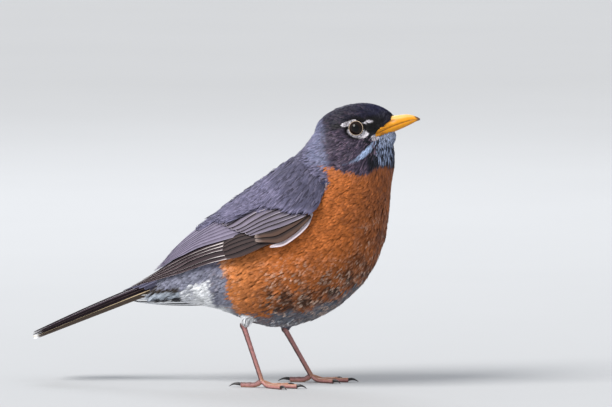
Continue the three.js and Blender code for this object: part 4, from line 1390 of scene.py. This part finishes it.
def mark_strands(mesh, points, strand, body):
    """Colours the strands by their markings, with painted shade towards each body feather's root, under
    the feather above, and a darker streak down its middle.
    """
    middle, tip, on_wing = strand[2], strand[4], strand[6][:, 4]
    down, out, near_edge, chance, spacing = body
    count, size = points.shape[:2]
    hair = rng.random(count)
    seen = middle + (tip - middle) * 0.75
    spread = points + (seen[:, None] - points) * 0.65
    shares = [np.repeat(share, size) for share in (chance, hair, on_wing)]
    colour, fringe = marking(spread.reshape(-1, 3), *shares)
    # Painted shade: darker towards each body feather's root, where the feather above covers it.
    shaded = 0.92 + 0.14 * smooth(0.1, 0.8, down) + 0.16 * (chance - 0.5)
    shaded = shaded - 0.14 * smooth(0.35, 0.1, np.abs(out)) * smooth(0.2, 0.5, down)
    tone = np.repeat(shaded * rng.normal(1, 0.06, count).clip(0.8, 1.2), size)
    at_edge = np.repeat(smooth(0.42, 0.1, near_edge / spacing), size)
    set_colour(mesh, "coat", colour * tone[:, None])
    set_attribute(mesh, "fringe", "FLOAT", fringe * at_edge)


def feather_piece(name, template, strand, body, material):
    """One piece of closed strands, which share a blade's outline."""
    points, normals, x, t, vane = strand_shape(template, strand, body)
    count, size = x.shape
    faces = (BLADES[template][1][None] + (np.arange(count) * size)[:, None, None]).reshape(-1, 3)
    mesh = make_mesh(name, points.reshape(-1, 3), [faces])
    mark_strands(mesh, points, strand, body)
    set_attribute(mesh, "vane", "FLOAT_VECTOR", vane.reshape(-1, 3))
    mesh.normals_split_custom_set_from_vertices(normals.reshape(-1, 3).astype(np.float32))
    places = unwrap(strand[0])[:, None] + np.stack([x * 0.0015, (t - 0.5) * 0.003], -1)
    set_bake_map(mesh, places.reshape(-1, 2)[faces.ravel()])
    add_piece(name, mesh, material)


def tract_masks(roots, spacing):
    """Which tract each strand belongs to."""
    x, y, z = roots.T
    head = (head_axes(roots)[0] > -17) & (z > looked_up(x, HOOD_EDGE) - 1)
    throat = head & (x > 46) & (z < 137.5)
    neck = ~head & (z > 117) & (x > -2)
    thigh = (z < 41) & (spacing < 1.25) & (x < 14)
    rest = ~head & ~neck & ~thigh
    back = rest & (x < looked_up(z, SHOULDER_EDGE)) & (z > 74 + 0.25 * (-35 - x))
    rump = rest & ~back & (x < -32)
    breast = rest & ~back & ~rump
    return dict(head=head & ~throat, throat=throat, neck=neck, back=back, thigh=thigh, rump=rump,
                breast_left=breast & (y >= 0), breast_right=breast & (y < 0))


def dress_skin():
    """The small feathers, parted into tracts."""
    strand = grow_coat()
    roots, sizes = strand[0], strand[6]
    body = body_feathers(roots, sizes, unit(strand[4] - roots), strand[3])
    masks = tract_masks(roots, sizes[:, 0])
    crown = down_finish("crown_plumage", "nape", 0.55, Sheen_Roughness=0.35,
                        Sheen_Tint=(0.35, 0.38, 0.9, 1), Specular_IOR_Level=0.3)
    slate = down_finish("slate_plumage", "mantle_line", 0.7, Sheen_Roughness=0.5, Specular_IOR_Level=0.2)
    dull = dict(Sheen_Roughness=0.5, Specular_IOR_Level=0.15)
    rust = down_finish("rust_plumage", "rust_fringe", 0.78, **dull)
    vent = down_finish("vent_plumage", "vent", 0.78, **dull)
    tracts = [
        ("head_feathers", "head", "short", crown, "head_feathers"),
        ("throat_feathers", "throat", "streak", crown, "head_feathers"),
        ("neck_feathers", "neck", "streak", slate, "neck_feathers"),
        ("back_feathers", "back", "streak", slate, "shoulder_feathers"),
        ("thigh_feathers", "thigh", "short", vent, "thigh_feathers"),
        ("rump_feathers", "rump", "loose", slate, "rump_feathers"),
        ("breast_feathers_left", "breast_left", "loose", rust, "breast_feathers"),
        ("breast_feathers_right", "breast_right", "loose", rust, "breast_feathers"),
    ]
    for name, tract, template, finish, slot in tracts:
        own_strand, own_body = ([a[masks[tract]] for a in rows] for rows in (strand, body))
        feather_piece(name, template, own_strand, own_body, finish)


# -------- wing and tail feathers


def wing_sheet(s, t):
    """Points on the left wing's sheet, along and across it."""
    low, high = curve(WING_LOWER, s), curve(WING_UPPER, s)
    step = 1e-3
    run = unit(curve(WING_LOWER, s + step) - curve(WING_LOWER, s - step))
    run = run + unit(curve(WING_UPPER, s + step) - curve(WING_UPPER, s - step))
    out = unit(np.cross(run, high - low))
    bulge = curve(WING_BULGE, s) * (4 * t * (1 - t))[..., None]
    return low + (high - low) * t[..., None] + out * bulge


def wing_point(s, t, lift):
    """Points standing off the left wing's sheet."""
    step = 0.01
    inner = np.clip(s, step, 1 - step)
    ahead = wing_sheet(inner + step, t) - wing_sheet(inner - step, t)
    normal = np.cross(ahead, wing_sheet(inner, t + step) - wing_sheet(inner, t - step))
    return saddle(wing_sheet(s, t) + unit(normal) * np.asarray(lift)[..., None])


VANE_ROWS, VANE_COLUMNS = 15, 11
VANE_THICK = 0.26


def vane(place, low, high, lobe, apex, shaft, step=0.5, overlap=0.5):
    """One closed feather between two lines of a fan, and marks. Its exposed edge is at low."""
    v = (1 - np.cos(math.pi * np.linspace(0, 1, VANE_COLUMNS))) / 2
    u = 1 - (1 - np.linspace(0, 1, VANE_ROWS)) ** 1.6
    reach_end = np.where(v < apex, (apex - v) / apex, (v - apex) / (1 - apex))
    tip = 1 - lobe * (1 - np.sqrt(1 - reach_end**2.2 * 0.98))
    U = u[:, None] * tip[None, :]
    V = np.broadcast_to(v[None, :], U.shape)
    across = low + (high - low) * (1 + overlap) * V
    body = np.sqrt(np.minimum(np.minimum(V, 1 - V) * 6, (1 - u[:, None]) * 8).clip(0, 1))
    ridge = np.exp(-(((V - shaft) / 0.035) ** 2)) * (1 - U * 0.6)
    stand = step * (1 - V) - 0.16 * V + 0.16 * ridge
    top = place(U, across, stand)
    under = place(U, across, stand - 0.05 - VANE_THICK * body)
    points = np.concatenate([top.reshape(-1, 3), under.reshape(-1, 3)])
    rows, columns = U.shape
    half = rows * columns
    edge = np.concatenate([
        np.arange(columns - 1), np.arange(rows - 1) * columns + columns - 1,
        half - 1 - np.arange(columns - 1), (rows - 1 - np.arange(rows - 1)) * columns,
    ])
    after = np.roll(edge, -1)
    walls = np.stack([after, edge, edge + half, after + half], 1)
    back = grid_faces(rows, columns, start=half)[:, ::-1]
    points, faces = turned_out(points, [np.concatenate([grid_faces(rows, columns), back, walls])])
    run = np.linalg.norm(np.diff(top, axis=0), axis=-1)
    along = np.concatenate([np.zeros((1, columns)), np.cumsum(run, 0)])
    side = np.linalg.norm(np.diff(top, axis=1), axis=-1)
    from_edge = np.concatenate([np.zeros((rows, 1)), np.cumsum(side, 1)], 1)
    shaft_at = np.array([np.interp(shaft, v, row) for row in from_edge])[:, None]
    marks = dict(aside=from_edge - shaft_at, along=along, share=U, across=V,
                 rim=np.minimum(from_edge, along[-1:] - along + 0.15))
    return points, faces, SimpleNamespace(**{key: np.tile(m.ravel(), 2) for key, m in marks.items()})


def vanes_piece(name, parts, material, replaces, mirror=False):
    """One piece from several vanes: (points, faces, marks, colour, edge colour, rim width)."""
    points, faces = joined([part[:2] for part in parts])
    if mirror:
        points = points * [1, -1, 1]
        faces = [f[:, ::-1] for f in faces]
    mesh = make_mesh(name, points, faces)
    edges, rims, vanes, places = [], [], [], []
    columns = math.ceil(math.sqrt(len(parts)))
    for k, (_, _, mark, colour, edge, width) in enumerate(parts):
        edges.append(np.broadcast_to(edge, colour.shape))
        width = width * (1 - 0.5 * mark.share)
        rims.append(smooth(width, width * 0.55, mark.rim))
        vanes.append(np.stack([mark.aside, mark.along, mark.share], -1))
        cell = np.array([k % columns, k // columns])
        inside = np.stack([mark.across, mark.share], -1)
        places.append((cell + 0.06 + 0.88 * inside) / columns)
    colours = np.concatenate([part[3] for part in parts])
    set_colour(mesh, "coat", colours)
    set_colour(mesh, "edge", np.concatenate(edges))
    set_attribute(mesh, "rim", "FLOAT", np.concatenate(rims))
    set_attribute(mesh, "vane", "FLOAT_VECTOR", np.concatenate(vanes))
    set_bake_map(mesh, np.concatenate(places)[corners(faces)])
    add_piece(name, mesh, material, replaces)


def fan_place(edges, lift):
    """Places between a group's feather lines: share of the way along, and number of the line."""
    lines = [np.array(edge, float) for edge in edges]

    def place(u, a, stand):
        at = np.stack([curve(line, u) for line in lines])
        k = np.clip(np.floor(a).astype(int), 0, len(lines) - 2)
        low = np.take_along_axis(at, k[None, ..., None], 0)[0]
        high = np.take_along_axis(at, k[None, ..., None] + 1, 0)[0]
        along, across = np.moveaxis(mixed((low, high), (a - k)[..., None]), -1, 0)
        high_up = 1 - 0.6 * smooth(0.7, 1, across)
        return wing_point(along, across, stand + mixed(lift, u) * high_up)

    return place


def wing_group(name, g, side, finish):
    """One group of a wing's feathers, as one piece."""
    root_lift, tip_lift = g["lift"]
    if side == "left" and name in ("primaries", "secondaries"):
        tip_lift -= LEFT_TIPS_CLOSER
    edges = [np.array(edge) / 1000 for edge in g["edges"]]
    place = fan_place(edges, (root_lift, tip_lift))
    middle, dark, rim = (PAINT[key] for key in g["colours"])
    # The inner half of a vane darkens as painted shadow under the next feather's edge, later and less
    # on the upper secondaries.
    start, fade = (0.4, 0.09) if name == "secondaries" else (0.26, 0)
    parts = []
    for k in range(len(edges) - 1):
        ends = place(np.array([0.0, 1.0]), np.array([k + 0.5, k + 0.5]), np.zeros(2))
        lobe = g["lobe"] / np.linalg.norm(ends[1] - ends[0])
        points, faces, mark = vane(place, k, k + 1, lobe, g["apex"], g["shaft"], step=g["step"])
        tone = rng.normal(1, 0.1) * (0.9 + 0.2 * smooth(0.2, 0.9, mark.share))
        colour = np.tile(middle, (len(points), 1)) * tone[:, None]
        colour = lay(colour, dark, (0.95 - fade * k) * smooth(start, start + 0.36, mark.across))
        if name == "alula":
            colour = lay(colour, "covert_tip", 0.5 * smooth(0.93, 0.98, mark.share))
        bright = rim * rng.normal(1, 0.14)
        parts.append((points, faces, mark, colour, bright, g["rim"] * rng.uniform(0.7, 1.25)))
    replaced = [f"wing_{name}_{side}"]
    vanes_piece(f"{name}_{side}", parts, finish, replaced, mirror=side == "right")


def add_wings():
    flight = vane_finish("flight_plumage", 0.6, 0.2, Sheen_Weight=0.04, Sheen_Roughness=0.4,
                         Specular_IOR_Level=0.2)
    for side in SIDES:
        for name, g in WING_GROUPS.items():
            wing_group(name, g, side, flight)
        add_wing_strip(side, flight)


def add_wing_strip(side, finish):
    """The white edge of the wing: long narrow feathers laid one over the next."""
    at, low, high = np.array(WING_STRIP).T
    parts = []
    for k in range(STRIP_FEATHERS):
        s = 0.1 + 0.019 * k + np.linspace(0, 0.1, 4)
        edges = [np.stack([s, np.interp(s, at, line)], 1) for line in (low, high)]
        place = fan_place(edges, (0.7 + 0.1 * k, 1.5 + 0.1 * k))
        points, faces, mark = vane(place, 0, 1, 0.2, 0.3, 0.5, step=0.25, overlap=0.0)
        colour = plain_coat("marginal", len(points)) * rng.normal(1, 0.04)
        parts.append((points, faces, mark, colour, PAINT["marginal"], 0.1))
    vanes_piece(f"marginal_coverts_{side}", parts, finish, [], side == "right")


def tail_place(u, across, stand):
    """Points standing off the tail's sheet: share of the way along, and across from -1 to 1."""
    out = np.abs(across)
    end = mixed((TAIL["tip_x"], TAIL["outer_tip_x"]), out**2)
    z = mixed(TAIL["ridge"], u) - mixed(TAIL["eaves"], u) * out**2
    z = z + TAIL["rise"] * np.sin(math.pi * np.clip(u, 0, 1)) * (1 - out**2) + stand
    return np.stack([mixed((TAIL["root_x"], end), u), across * mixed(TAIL["half"], u), z], -1)


def add_tail():
    """The tail's feathers. The central pair lies on top."""
    count = len(TAIL_PAIRS)
    parts = []
    for k, (tone, rim, width) in enumerate(TAIL_PAIRS):
        for sign in (-1, 1):
            def place(u, a, stand, sign=sign):
                return tail_place(u, sign * np.maximum(a, -0.03), stand * 0.9)

            points, faces, mark = vane(place, (k + 1) / count, k / count, 3.2 / 70, 0.45,
                                       0.3 + 0.02 * (count - k), overlap=0.35)
            colour = np.tile(PAINT[tone] * rng.normal(1, 0.04), (len(points), 1))
            if k >= WHITE_TIPPED:
                colour = lay(colour, "vent", smooth(0.95, 0.985, mark.share))
            parts.append((points, faces, mark, colour, PAINT[rim], width))
    tail = vane_finish("tail_plumage", 0.7, 0.04, barb_shade=False, Specular_IOR_Level=0.03)
    vanes_piece("tail_feathers", parts, tail, ["tail"])
    add_tail_coverts(tail)


def over_tail(u, across, stand):
    """Places over the tail's base, from the rump rearwards."""
    spot = tail_place(u * 0.46 - 0.16, across, stand * 0)
    arch = 1.5 * np.sin(math.pi * np.clip(u, 0, 1)) * (1 - u)
    return spot + np.stack([0 * u, 0 * u, stand + 0.5 + arch], -1)


def under_tail(u, across, stand):
    """Places under the tail's base, from the vent rearwards."""
    x = -42 - 48 * u
    z = looked_up(x, UNDER_TAIL) + 9 * np.abs(across) ** 2 * (1 - 0.5 * u) - stand
    return np.stack([x, across * (12.5 - 7 * u), z], -1)


def tail_coverts(name, base, reaches, paint_covert, finish):
    """Feathers over or under the tail's base, in pairs from the middle outwards."""
    rows = len(reaches)
    parts = []
    for k, reach in enumerate(reaches):
        for sign in (-1, 1):
            def place(u, a, stand, sign=sign, reach=reach):
                return base(u * reach, sign * np.maximum(a, -0.04), stand)

            points, faces, mark = vane(place, (k + 1) / rows, k / rows, 0.14, 0.45, 0.45, step=0.45)
            parts.append((points, faces, mark, *paint_covert(k, mark)))
    vanes_piece(name, parts, finish, [])


def slate_covert(_, mark):
    colour = np.tile(PAINT["uppertail"] * rng.normal(1, 0.07), (len(mark.share), 1))
    colour = lay(colour, "mantle_dark", 0.6 * smooth(0.2, 0.6, mark.across))
    return colour, PAINT["mantle_line"], 0.5


def white_covert(k, mark):
    colour = np.tile(PAINT["vent"] * rng.normal(0.95, 0.04), (len(mark.share), 1))
    dusky = smooth(0.15, 0.5, mark.across) * smooth(0.75, 0.6, mark.share)
    return lay(colour, "undertail_dark", dusky * UNDERTAIL_DUSK[k]), PAINT["vent"], 0.9


def add_tail_coverts(finish):
    """Slate feathers over the tail's base, and white and dusky ones under it."""
    tail_coverts("uppertail_coverts", over_tail, UPPERTAIL_REACH, slate_covert, finish)
    tail_coverts("undertail_coverts", under_tail, UNDERTAIL_REACH, white_covert, finish)


# -------- bill, eyes and legs


def mandible(outer):
    """Half of the bill: flat on the cutting edge, with a ridge or a keel, and closed."""
    upper = outer == "ridge"
    t = np.linspace(0, 1, 60) ** 0.92
    at, ridge, edge, keel, half = (curve(BILL_STATIONS, t)[:, k, None] for k in range(5))
    angle = np.linspace(0, math.pi, 25)[None, :]
    base = edge + (0.04 if upper else -0.04)
    tall = (ridge if upper else keel) - base
    # The upper mandible overhangs the lower one a little along the cutting edge.
    aside = np.cos(angle) * half * (1 - 0.05 * np.sin(angle) ** 6) * (1.0 if upper else 0.95)
    above = base + tall * np.sin(angle) ** (0.74 if upper else 0.8)
    above = above - 0.22 * np.sin(t * math.pi)[:, None] * (1 - np.sin(angle))
    if upper:
        # A nostril in a shallow groove on each side, just ahead of the feathers.
        near = ((at - NOSTRIL[0]) / 1.7) ** 2 + ((above - NOSTRIL[1]) / 0.5) ** 2
        groove = ((at - 20.4) / 3.6) ** 2 + ((above + 0.9) / 1.2) ** 2
        aside = aside - np.sign(aside) * (0.5 * np.exp(-near * 1.4) + 0.2 * np.exp(-groove))
    return loft(head_point(at + 0 * angle, aside, above))


def upper_bill_colour(at, above):
    """Orange yellow, with a paler painted highlight along the ridge, and a dark nostril, edge and tip.
    """
    ridge, edge, _, _ = bill_rows(at)
    height = (above - edge) / np.maximum(ridge - edge, 0.1)
    colour = plain_coat("bill", len(at))
    # Painted highlight along the ridge.
    colour = lay(colour, "bill_ridge_highlight", 0.9 * smooth(0.5, 0.85, height) * smooth(35, 31, at))
    nostril = np.exp(-(((at - NOSTRIL[0]) / 1.6) ** 2 + ((above - NOSTRIL[1]) / 0.4) ** 2))
    colour = lay(colour, "bill_tip", 0.8 * nostril)
    colour = lay(colour, "bill_mark_and_shade", 0.3 * smooth(0.25, 0.05, height))
    return lay(colour, "bill_tip", 0.9 * smooth(32.6, 34.6, at + 1.5 * (height - 0.7)))


def lower_bill_colour(at, above):
    """Orange yellow, darker along the keel as painted shade of the underside, duller at the corner of
    the mouth, with a dark tip.
    """
    _, edge, keel, _ = bill_rows(at)
    height = (edge - above) / np.maximum(edge - keel, 0.1)
    colour = plain_coat("bill", len(at))
    # Painted shade along the underside, by the keel.
    colour = lay(colour, "bill_mark_and_shade", 0.5 * smooth(0.7, 1.0, height) * smooth(17, 23, at))
    corner = np.exp(-(((at - 14.5) / 1.5) ** 2 + ((above + 6.6) / 0.6) ** 2))
    colour = lay(colour, "bill_mark_and_shade", 0.7 * corner)
    return lay(colour, "bill_tip", 0.9 * smooth(33, 35, at))


def add_bill():
    material = mottled_finish("bill_horn", 0.42, None, 420.0, 0.22, Coat_Weight=0.06, Coat_Roughness=0.3,
                              Subsurface_Weight=0.06, Subsurface_Scale=0.001, Specular_IOR_Level=0.35)
    tree = material.node_tree
    streaks = node(tree, "ShaderNodeTexNoise",
                   {"Vector": object_coordinate(tree), "Scale": 1500.0, "Detail": 3.0})
    bumped(tree, tree.nodes["Principled BSDF"], streaks.outputs[0], 0.25, 0.0001)
    halves = (("bill_upper", "ridge", upper_bill_colour), ("bill_lower", "keel", lower_bill_colour))
    for name, outer, paint_bill in halves:
        points, faces = mandible(outer)
        at, _, above = head_axes(points)
        mesh = make_mesh(name, points, faces)
        set_colour(mesh, "coat", paint_bill(at, above))
        add_piece(f"{name}_horn", mesh, material, [name])


def bristle(sign, k):
    """One of the bristles, from the corner of the mouth forwards."""
    at, above = 11.6 + 1.05 * k, -5.4 + 0.6 * k
    half = np.interp(at, [9, 13, 18], [6.9, 6.0, 4.7])
    start = head_point(at, sign * half, above)
    way = head_point(at + 3.6, sign * (half + 1.2 - 0.25 * k), above - 1.4 + 0.1 * k) - start
    t = np.linspace(0, 1, 6)[:, None]
    path = start + way * t + np.array([0, sign * 0.3, -0.5]) * t**2
    side = unit(np.cross(unit(way), [0, 0, 1.0]))
    circle = ring_ways(full_turn(5), side, np.cross(side, unit(way)))
    return loft(path[:, None] + circle[None] * (0.085 * (1 - 0.85 * t))[:, None])


def add_bristles():
    """Fine dark bristles over the corners of the mouth."""
    points, faces = joined([bristle(sign, k) for sign in (-1, 1) for k in range(7)])
    material = mottled_finish("bristle", 0.5, (*PAINT["lores"], 1), 800.0, 0.3)
    add_piece("bristles", make_mesh("bristles", points, faces), material)


def eye_finish():
    """Dark brown iris round a black pupil, under a clear wet surface."""
    material, tree, surface = shader("eyeball", 0.05, IOR=1.38, Specular_IOR_Level=0.35)
    radius = read(tree, "radius", "Fac")
    fibres = use_group(tree, MOTTLE, Coordinate=object_coordinate(tree), Scale=1800.0, Amount=0.6)
    iris = blend_node(tree, 1.0, (*PAINT["iris"], 1), fibres["Shade"], mode="MULTIPLY")
    seen = blend_node(tree, ramp_node(tree, radius, 1.95, 2.15), (0.002, 0.002, 0.003, 1), iris)
    edged = blend_node(tree, ramp_node(tree, radius, 3.3, 3.6), seen, (0.01, 0.007, 0.006, 1))
    set_base(tree, surface, edged)
    return material


def add_eyes():
    material = eye_finish()
    for side in SIDES:
        polar = np.linspace(0.03, math.pi - 0.03, 40)[:, None]
        turn = full_turn(48)[None, :]
        flat = np.sin(polar) * EYE_RADIUS + 0 * turn
        bulge = 0.22 * smooth(3.4, 0.0, flat) * (np.cos(polar) > 0)
        high = np.cos(polar) * EYE_RADIUS + bulge
        out = ring_ways(turn, *eye_ring_axes(side))
        points, faces = loft(EYES[side] + out * flat[..., None] + high[..., None] * EYE_AXES[side])
        mesh = make_mesh(f"eyeball_{side}", points, faces)
        height, away = off_eye_axis(points, side)
        radius = np.where(height > 0, np.linalg.norm(away, axis=1), EYE_RADIUS)
        set_attribute(mesh, "radius", "FLOAT", radius)
        add_piece(f"eyeball_{side}", mesh, material, [f"eye_{side}"])


def limb(points, radii, rows, count=24, scutes=0, flat=False, depth=0.1):
    """A round limb along points, with scutes stepped along its front, and marks round and along."""
    t = np.linspace(0, 1, rows)
    path = curve(points, t)
    run = unit(np.gradient(path, axis=0))
    side = unit(np.array([0, 1.0, 0]) - run * run[:, 1:2])
    front = np.cross(side, run)
    angle = full_turn(count)[None, :]
    size = looked_up(t, radii)[:, None] * (1 + 0 * angle)
    if scutes:
        saw = (t * scutes) % 1
        ledge = depth * (0.5 - saw)[:, None] * smooth(-0.2, 0.7, np.cos(angle))
        pads = 0.5 * depth * np.sin(t * scutes * 4 * math.pi)[:, None] * np.sin(angle * 7)
        size = size + ledge + pads * smooth(0.2, -0.6, np.cos(angle))
    rings = path[:, None] + ring_ways(angle, front[:, None], side[:, None]) * size[..., None]
    if flat:
        rings[..., 2] = np.maximum(rings[..., 2], 0.0)
    marks = np.stack(np.broadcast_arrays(np.cos(angle), t[:, None]), -1).reshape(-1, 2)
    return *loft(rings), np.concatenate([marks, [[0, 0], [0, 1]]]).T


def leg_finish():
    """Fine scales with darker seams, a little waxy."""
    material, tree, surface = shader("leg_scales", 0.46, Coat_Weight=0.08, Coat_Roughness=0.4,
                                     Subsurface_Weight=0.05, Subsurface_Scale=0.001)
    coordinate = object_coordinate(tree)
    mottle = use_group(tree, MOTTLE, Coordinate=coordinate, Scale=600.0, Amount=0.5)
    cells = node(tree, "ShaderNodeTexVoronoi", {"Vector": coordinate, "Scale": 1300.0},
                 feature="DISTANCE_TO_EDGE")
    seams = ramp_node(tree, cells.outputs["Distance"], 0.0, 0.12, 0.75, 1.0)
    shade = math_node(tree, "MULTIPLY", mottle["Shade"], seams)
    shaded = blend_node(tree, 1.0, coat_colour(tree), shade, mode="MULTIPLY")
    set_base(tree, surface, shaded)
    bumped(tree, surface, seams, 0.4, 0.00015)
    return material


def shank(heel, foot):
    """The bare leg from the heel down: points, faces and colour."""
    down = foot - heel
    spine = [heel - down * 0.06, heel + down * 0.05, heel + down * 0.3, heel + down * 0.7,
             foot - down * 0.06, foot + np.array([0, 0, -0.3])]
    points, faces, (front, along) = limb(spine, SHANK_RADII, 120, scutes=SHANK_SCUTES, depth=0.09)
    colour = lay(plain_coat("leg", len(points)), "leg_dark", 0.9 * smooth(-0.05, 0.55, front))
    colour = lay(colour, "leg_dark", 0.6 * smooth(0.2, 0.0, along))
    colour = lay(colour, "leg_yellow", 0.45 * smooth(0.5, 0.9, along) * smooth(0.4, -0.4, front))
    return points, faces, colour


def toe_and_claw(foot, turn, length, claw_length, thick):
    """A toe that lies on the floor, with its colour, and its claw."""
    ahead = np.array([math.cos(turn), math.sin(turn), 0])
    radius = TOE_RADIUS * thick
    rest = radius * 0.9

    def place(distance, height):
        return np.array([foot[0], foot[1], 0]) + ahead * distance + np.array([0, 0, height])

    spine = [place(-0.4, 3.0), place(1.2, 2.9), place(length * 0.22, rest * 1.5),
             place(length * 0.42, rest), place(length * 0.7, rest), place(length - 0.4, rest),
             place(length + 0.5, rest)]
    scutes = round(length * TOE_SCUTES_PER_MM)
    points, faces, (front, _) = limb(spine, [(t, r * radius) for t, r in KNUCKLES], 90,
                                     scutes=scutes, flat=True, depth=0.13)
    colour = lay(plain_coat("leg", len(points)), "leg_dark", 0.7 * smooth(0.0, 0.8, front))
    colour = lay(colour, "leg_yellow", 0.5 * smooth(-0.2, -0.9, front))
    hook = [place(length - 0.3, rest * 1.05), place(length + claw_length * 0.3, rest + 0.55),
            place(length + claw_length * 0.65, rest + 0.3), place(length + claw_length, 0.3)]
    tapering = [(0, 0.66 * radius), (0.4, 0.55 * radius), (0.8, 0.34), (1, 0.1)]
    return (points, faces, colour), limb(hook, tapering, 30, count=16, flat=True)[:2]


def add_legs():
    scales = leg_finish()
    horn = mottled_finish("claw_horn", 0.35, (*PAINT["claw"], 1), 700.0, 0.4, bump=(0.3, 0.0001),
                          Coat_Weight=0.2, Coat_Roughness=0.2)
    for side, row in LEGS.items():
        heel, foot = np.array(row["heel"], float), np.array(row["foot"], float)
        parts, claws = [shank(heel, foot)], []
        for bearing, *sizes in TOES.values():
            toe, claw = toe_and_claw(foot, math.radians(row["side"] * bearing + row["turn"]), *sizes)
            parts.append(toe)
            claws.append(claw)
        mesh = make_mesh(f"leg_{side}", *joined([part[:2] for part in parts]))
        set_colour(mesh, "coat", np.concatenate([part[2] for part in parts]))
        toes = [f"toe_{toe}_{side}" for toe in TOES]
        add_piece(f"leg_{side}", mesh, scales, [f"tarsus_{side}", *toes])
        mesh = make_mesh(f"claws_{side}", *joined(claws))
        add_piece(f"claws_{side}", mesh, horn, [f"claw_{toe}_{side}" for toe in TOES])


# -------- camera, light and floor

# The camera looks across the bird's right side, from a little ahead and above. Its target lies
# aside, along the picture's width, and up, along its height, from the bird's own origin.
VIEW_AZIMUTH = math.radians(12)
VIEW_ELEVATION = math.radians(4.5)
VIEW_DISTANCE = 6.0  # metres
IMAGE_WIDTH = 612
POINTS_PER_MM = 1.82
TARGET_ASIDE, TARGET_UP = 11.5, 99.7
LIGHT_TARGET = (0, 0, 0.08)
FLOOR_REACH, FLOOR_LINES = 14.0, 60


def add_camera():
    aside = Vector((math.cos(VIEW_AZIMUTH), math.sin(VIEW_AZIMUTH), 0))
    level = Vector((-math.sin(VIEW_AZIMUTH), math.cos(VIEW_AZIMUTH), 0))
    forward = level * math.cos(VIEW_ELEVATION) - Vector((0, 0, math.sin(VIEW_ELEVATION)))
    up = level * math.sin(VIEW_ELEVATION) + Vector((0, 0, math.cos(VIEW_ELEVATION)))
    target = (aside * TARGET_ASIDE + up * TARGET_UP + Vector(SHIFT)) * MM
    data = bpy.data.cameras.new("camera")
    data.sensor_width = 36
    data.lens = POINTS_PER_MM * VIEW_DISTANCE * PER_METRE * data.sensor_width / IMAGE_WIDTH
    data.clip_end = 100
    camera = bpy.data.objects.new("camera", data)
    camera.location = target - forward * VIEW_DISTANCE
    camera.rotation_euler = forward.to_track_quat("-Z", "Y").to_euler()
    bpy.context.scene.collection.objects.link(camera)
    bpy.context.scene.camera = camera


def add_light(kind, name, place, size, strength, colour):
    data = bpy.data.lights.new(name, kind)
    data.energy = strength
    data.color = colour
    if kind == "SUN":
        data.angle = size
    else:
        data.shape = "DISK"
        data.size = size
    light = bpy.data.objects.new(name, data)
    light.location = place
    light.rotation_euler = (Vector(LIGHT_TARGET) - Vector(place)).to_track_quat("-Z", "Y").to_euler()
    bpy.context.scene.collection.objects.link(light)


def add_studio():
    """Pale surroundings, a broad key light, a soft one from behind, and a floor of plain paper."""
    world = bpy.data.worlds.new("studio")
    bpy.context.scene.world = world
    world.use_nodes = True
    background = world.node_tree.nodes["Background"]
    background.inputs["Color"].default_value = (0.92, 0.95, 1.0, 1)
    background.inputs["Strength"].default_value = 0.6
    add_light("SUN", "key", place=(-1.4, -1.5, 2.0), size=math.radians(32), strength=3.1,
              colour=(1.0, 0.975, 0.95))
    add_light("AREA", "rim", place=(-0.5, 1.4, 1.2), size=0.8, strength=7, colour=(0.9, 0.94, 1.0))
    line = np.linspace(-FLOOR_REACH, FLOOR_REACH, FLOOR_LINES)
    grid = np.stack(np.broadcast_arrays(line[None, :], line[:, None], 0.0), -1).reshape(-1, 3)
    mesh = bpy.data.meshes.new("floor")
    mesh.from_pydata(grid.tolist(), [], grid_faces(FLOOR_LINES, FLOOR_LINES).tolist())
    floor = bpy.data.objects.new("floor", mesh)
    bpy.context.scene.collection.objects.link(floor)
    paper = mottled_finish("floor_paper", 0.85, (0.55, 0.56, 0.57, 1), 3.0, 0.03, Specular_IOR_Level=0.2)
    mesh.materials.append(paper)
    bpy.context.scene.view_settings.view_transform = "Standard"


add_camera()
add_studio()
add_skin()
dress_skin()
add_wings()
add_tail()
add_bill()
add_bristles()
add_eyes()
add_legs()
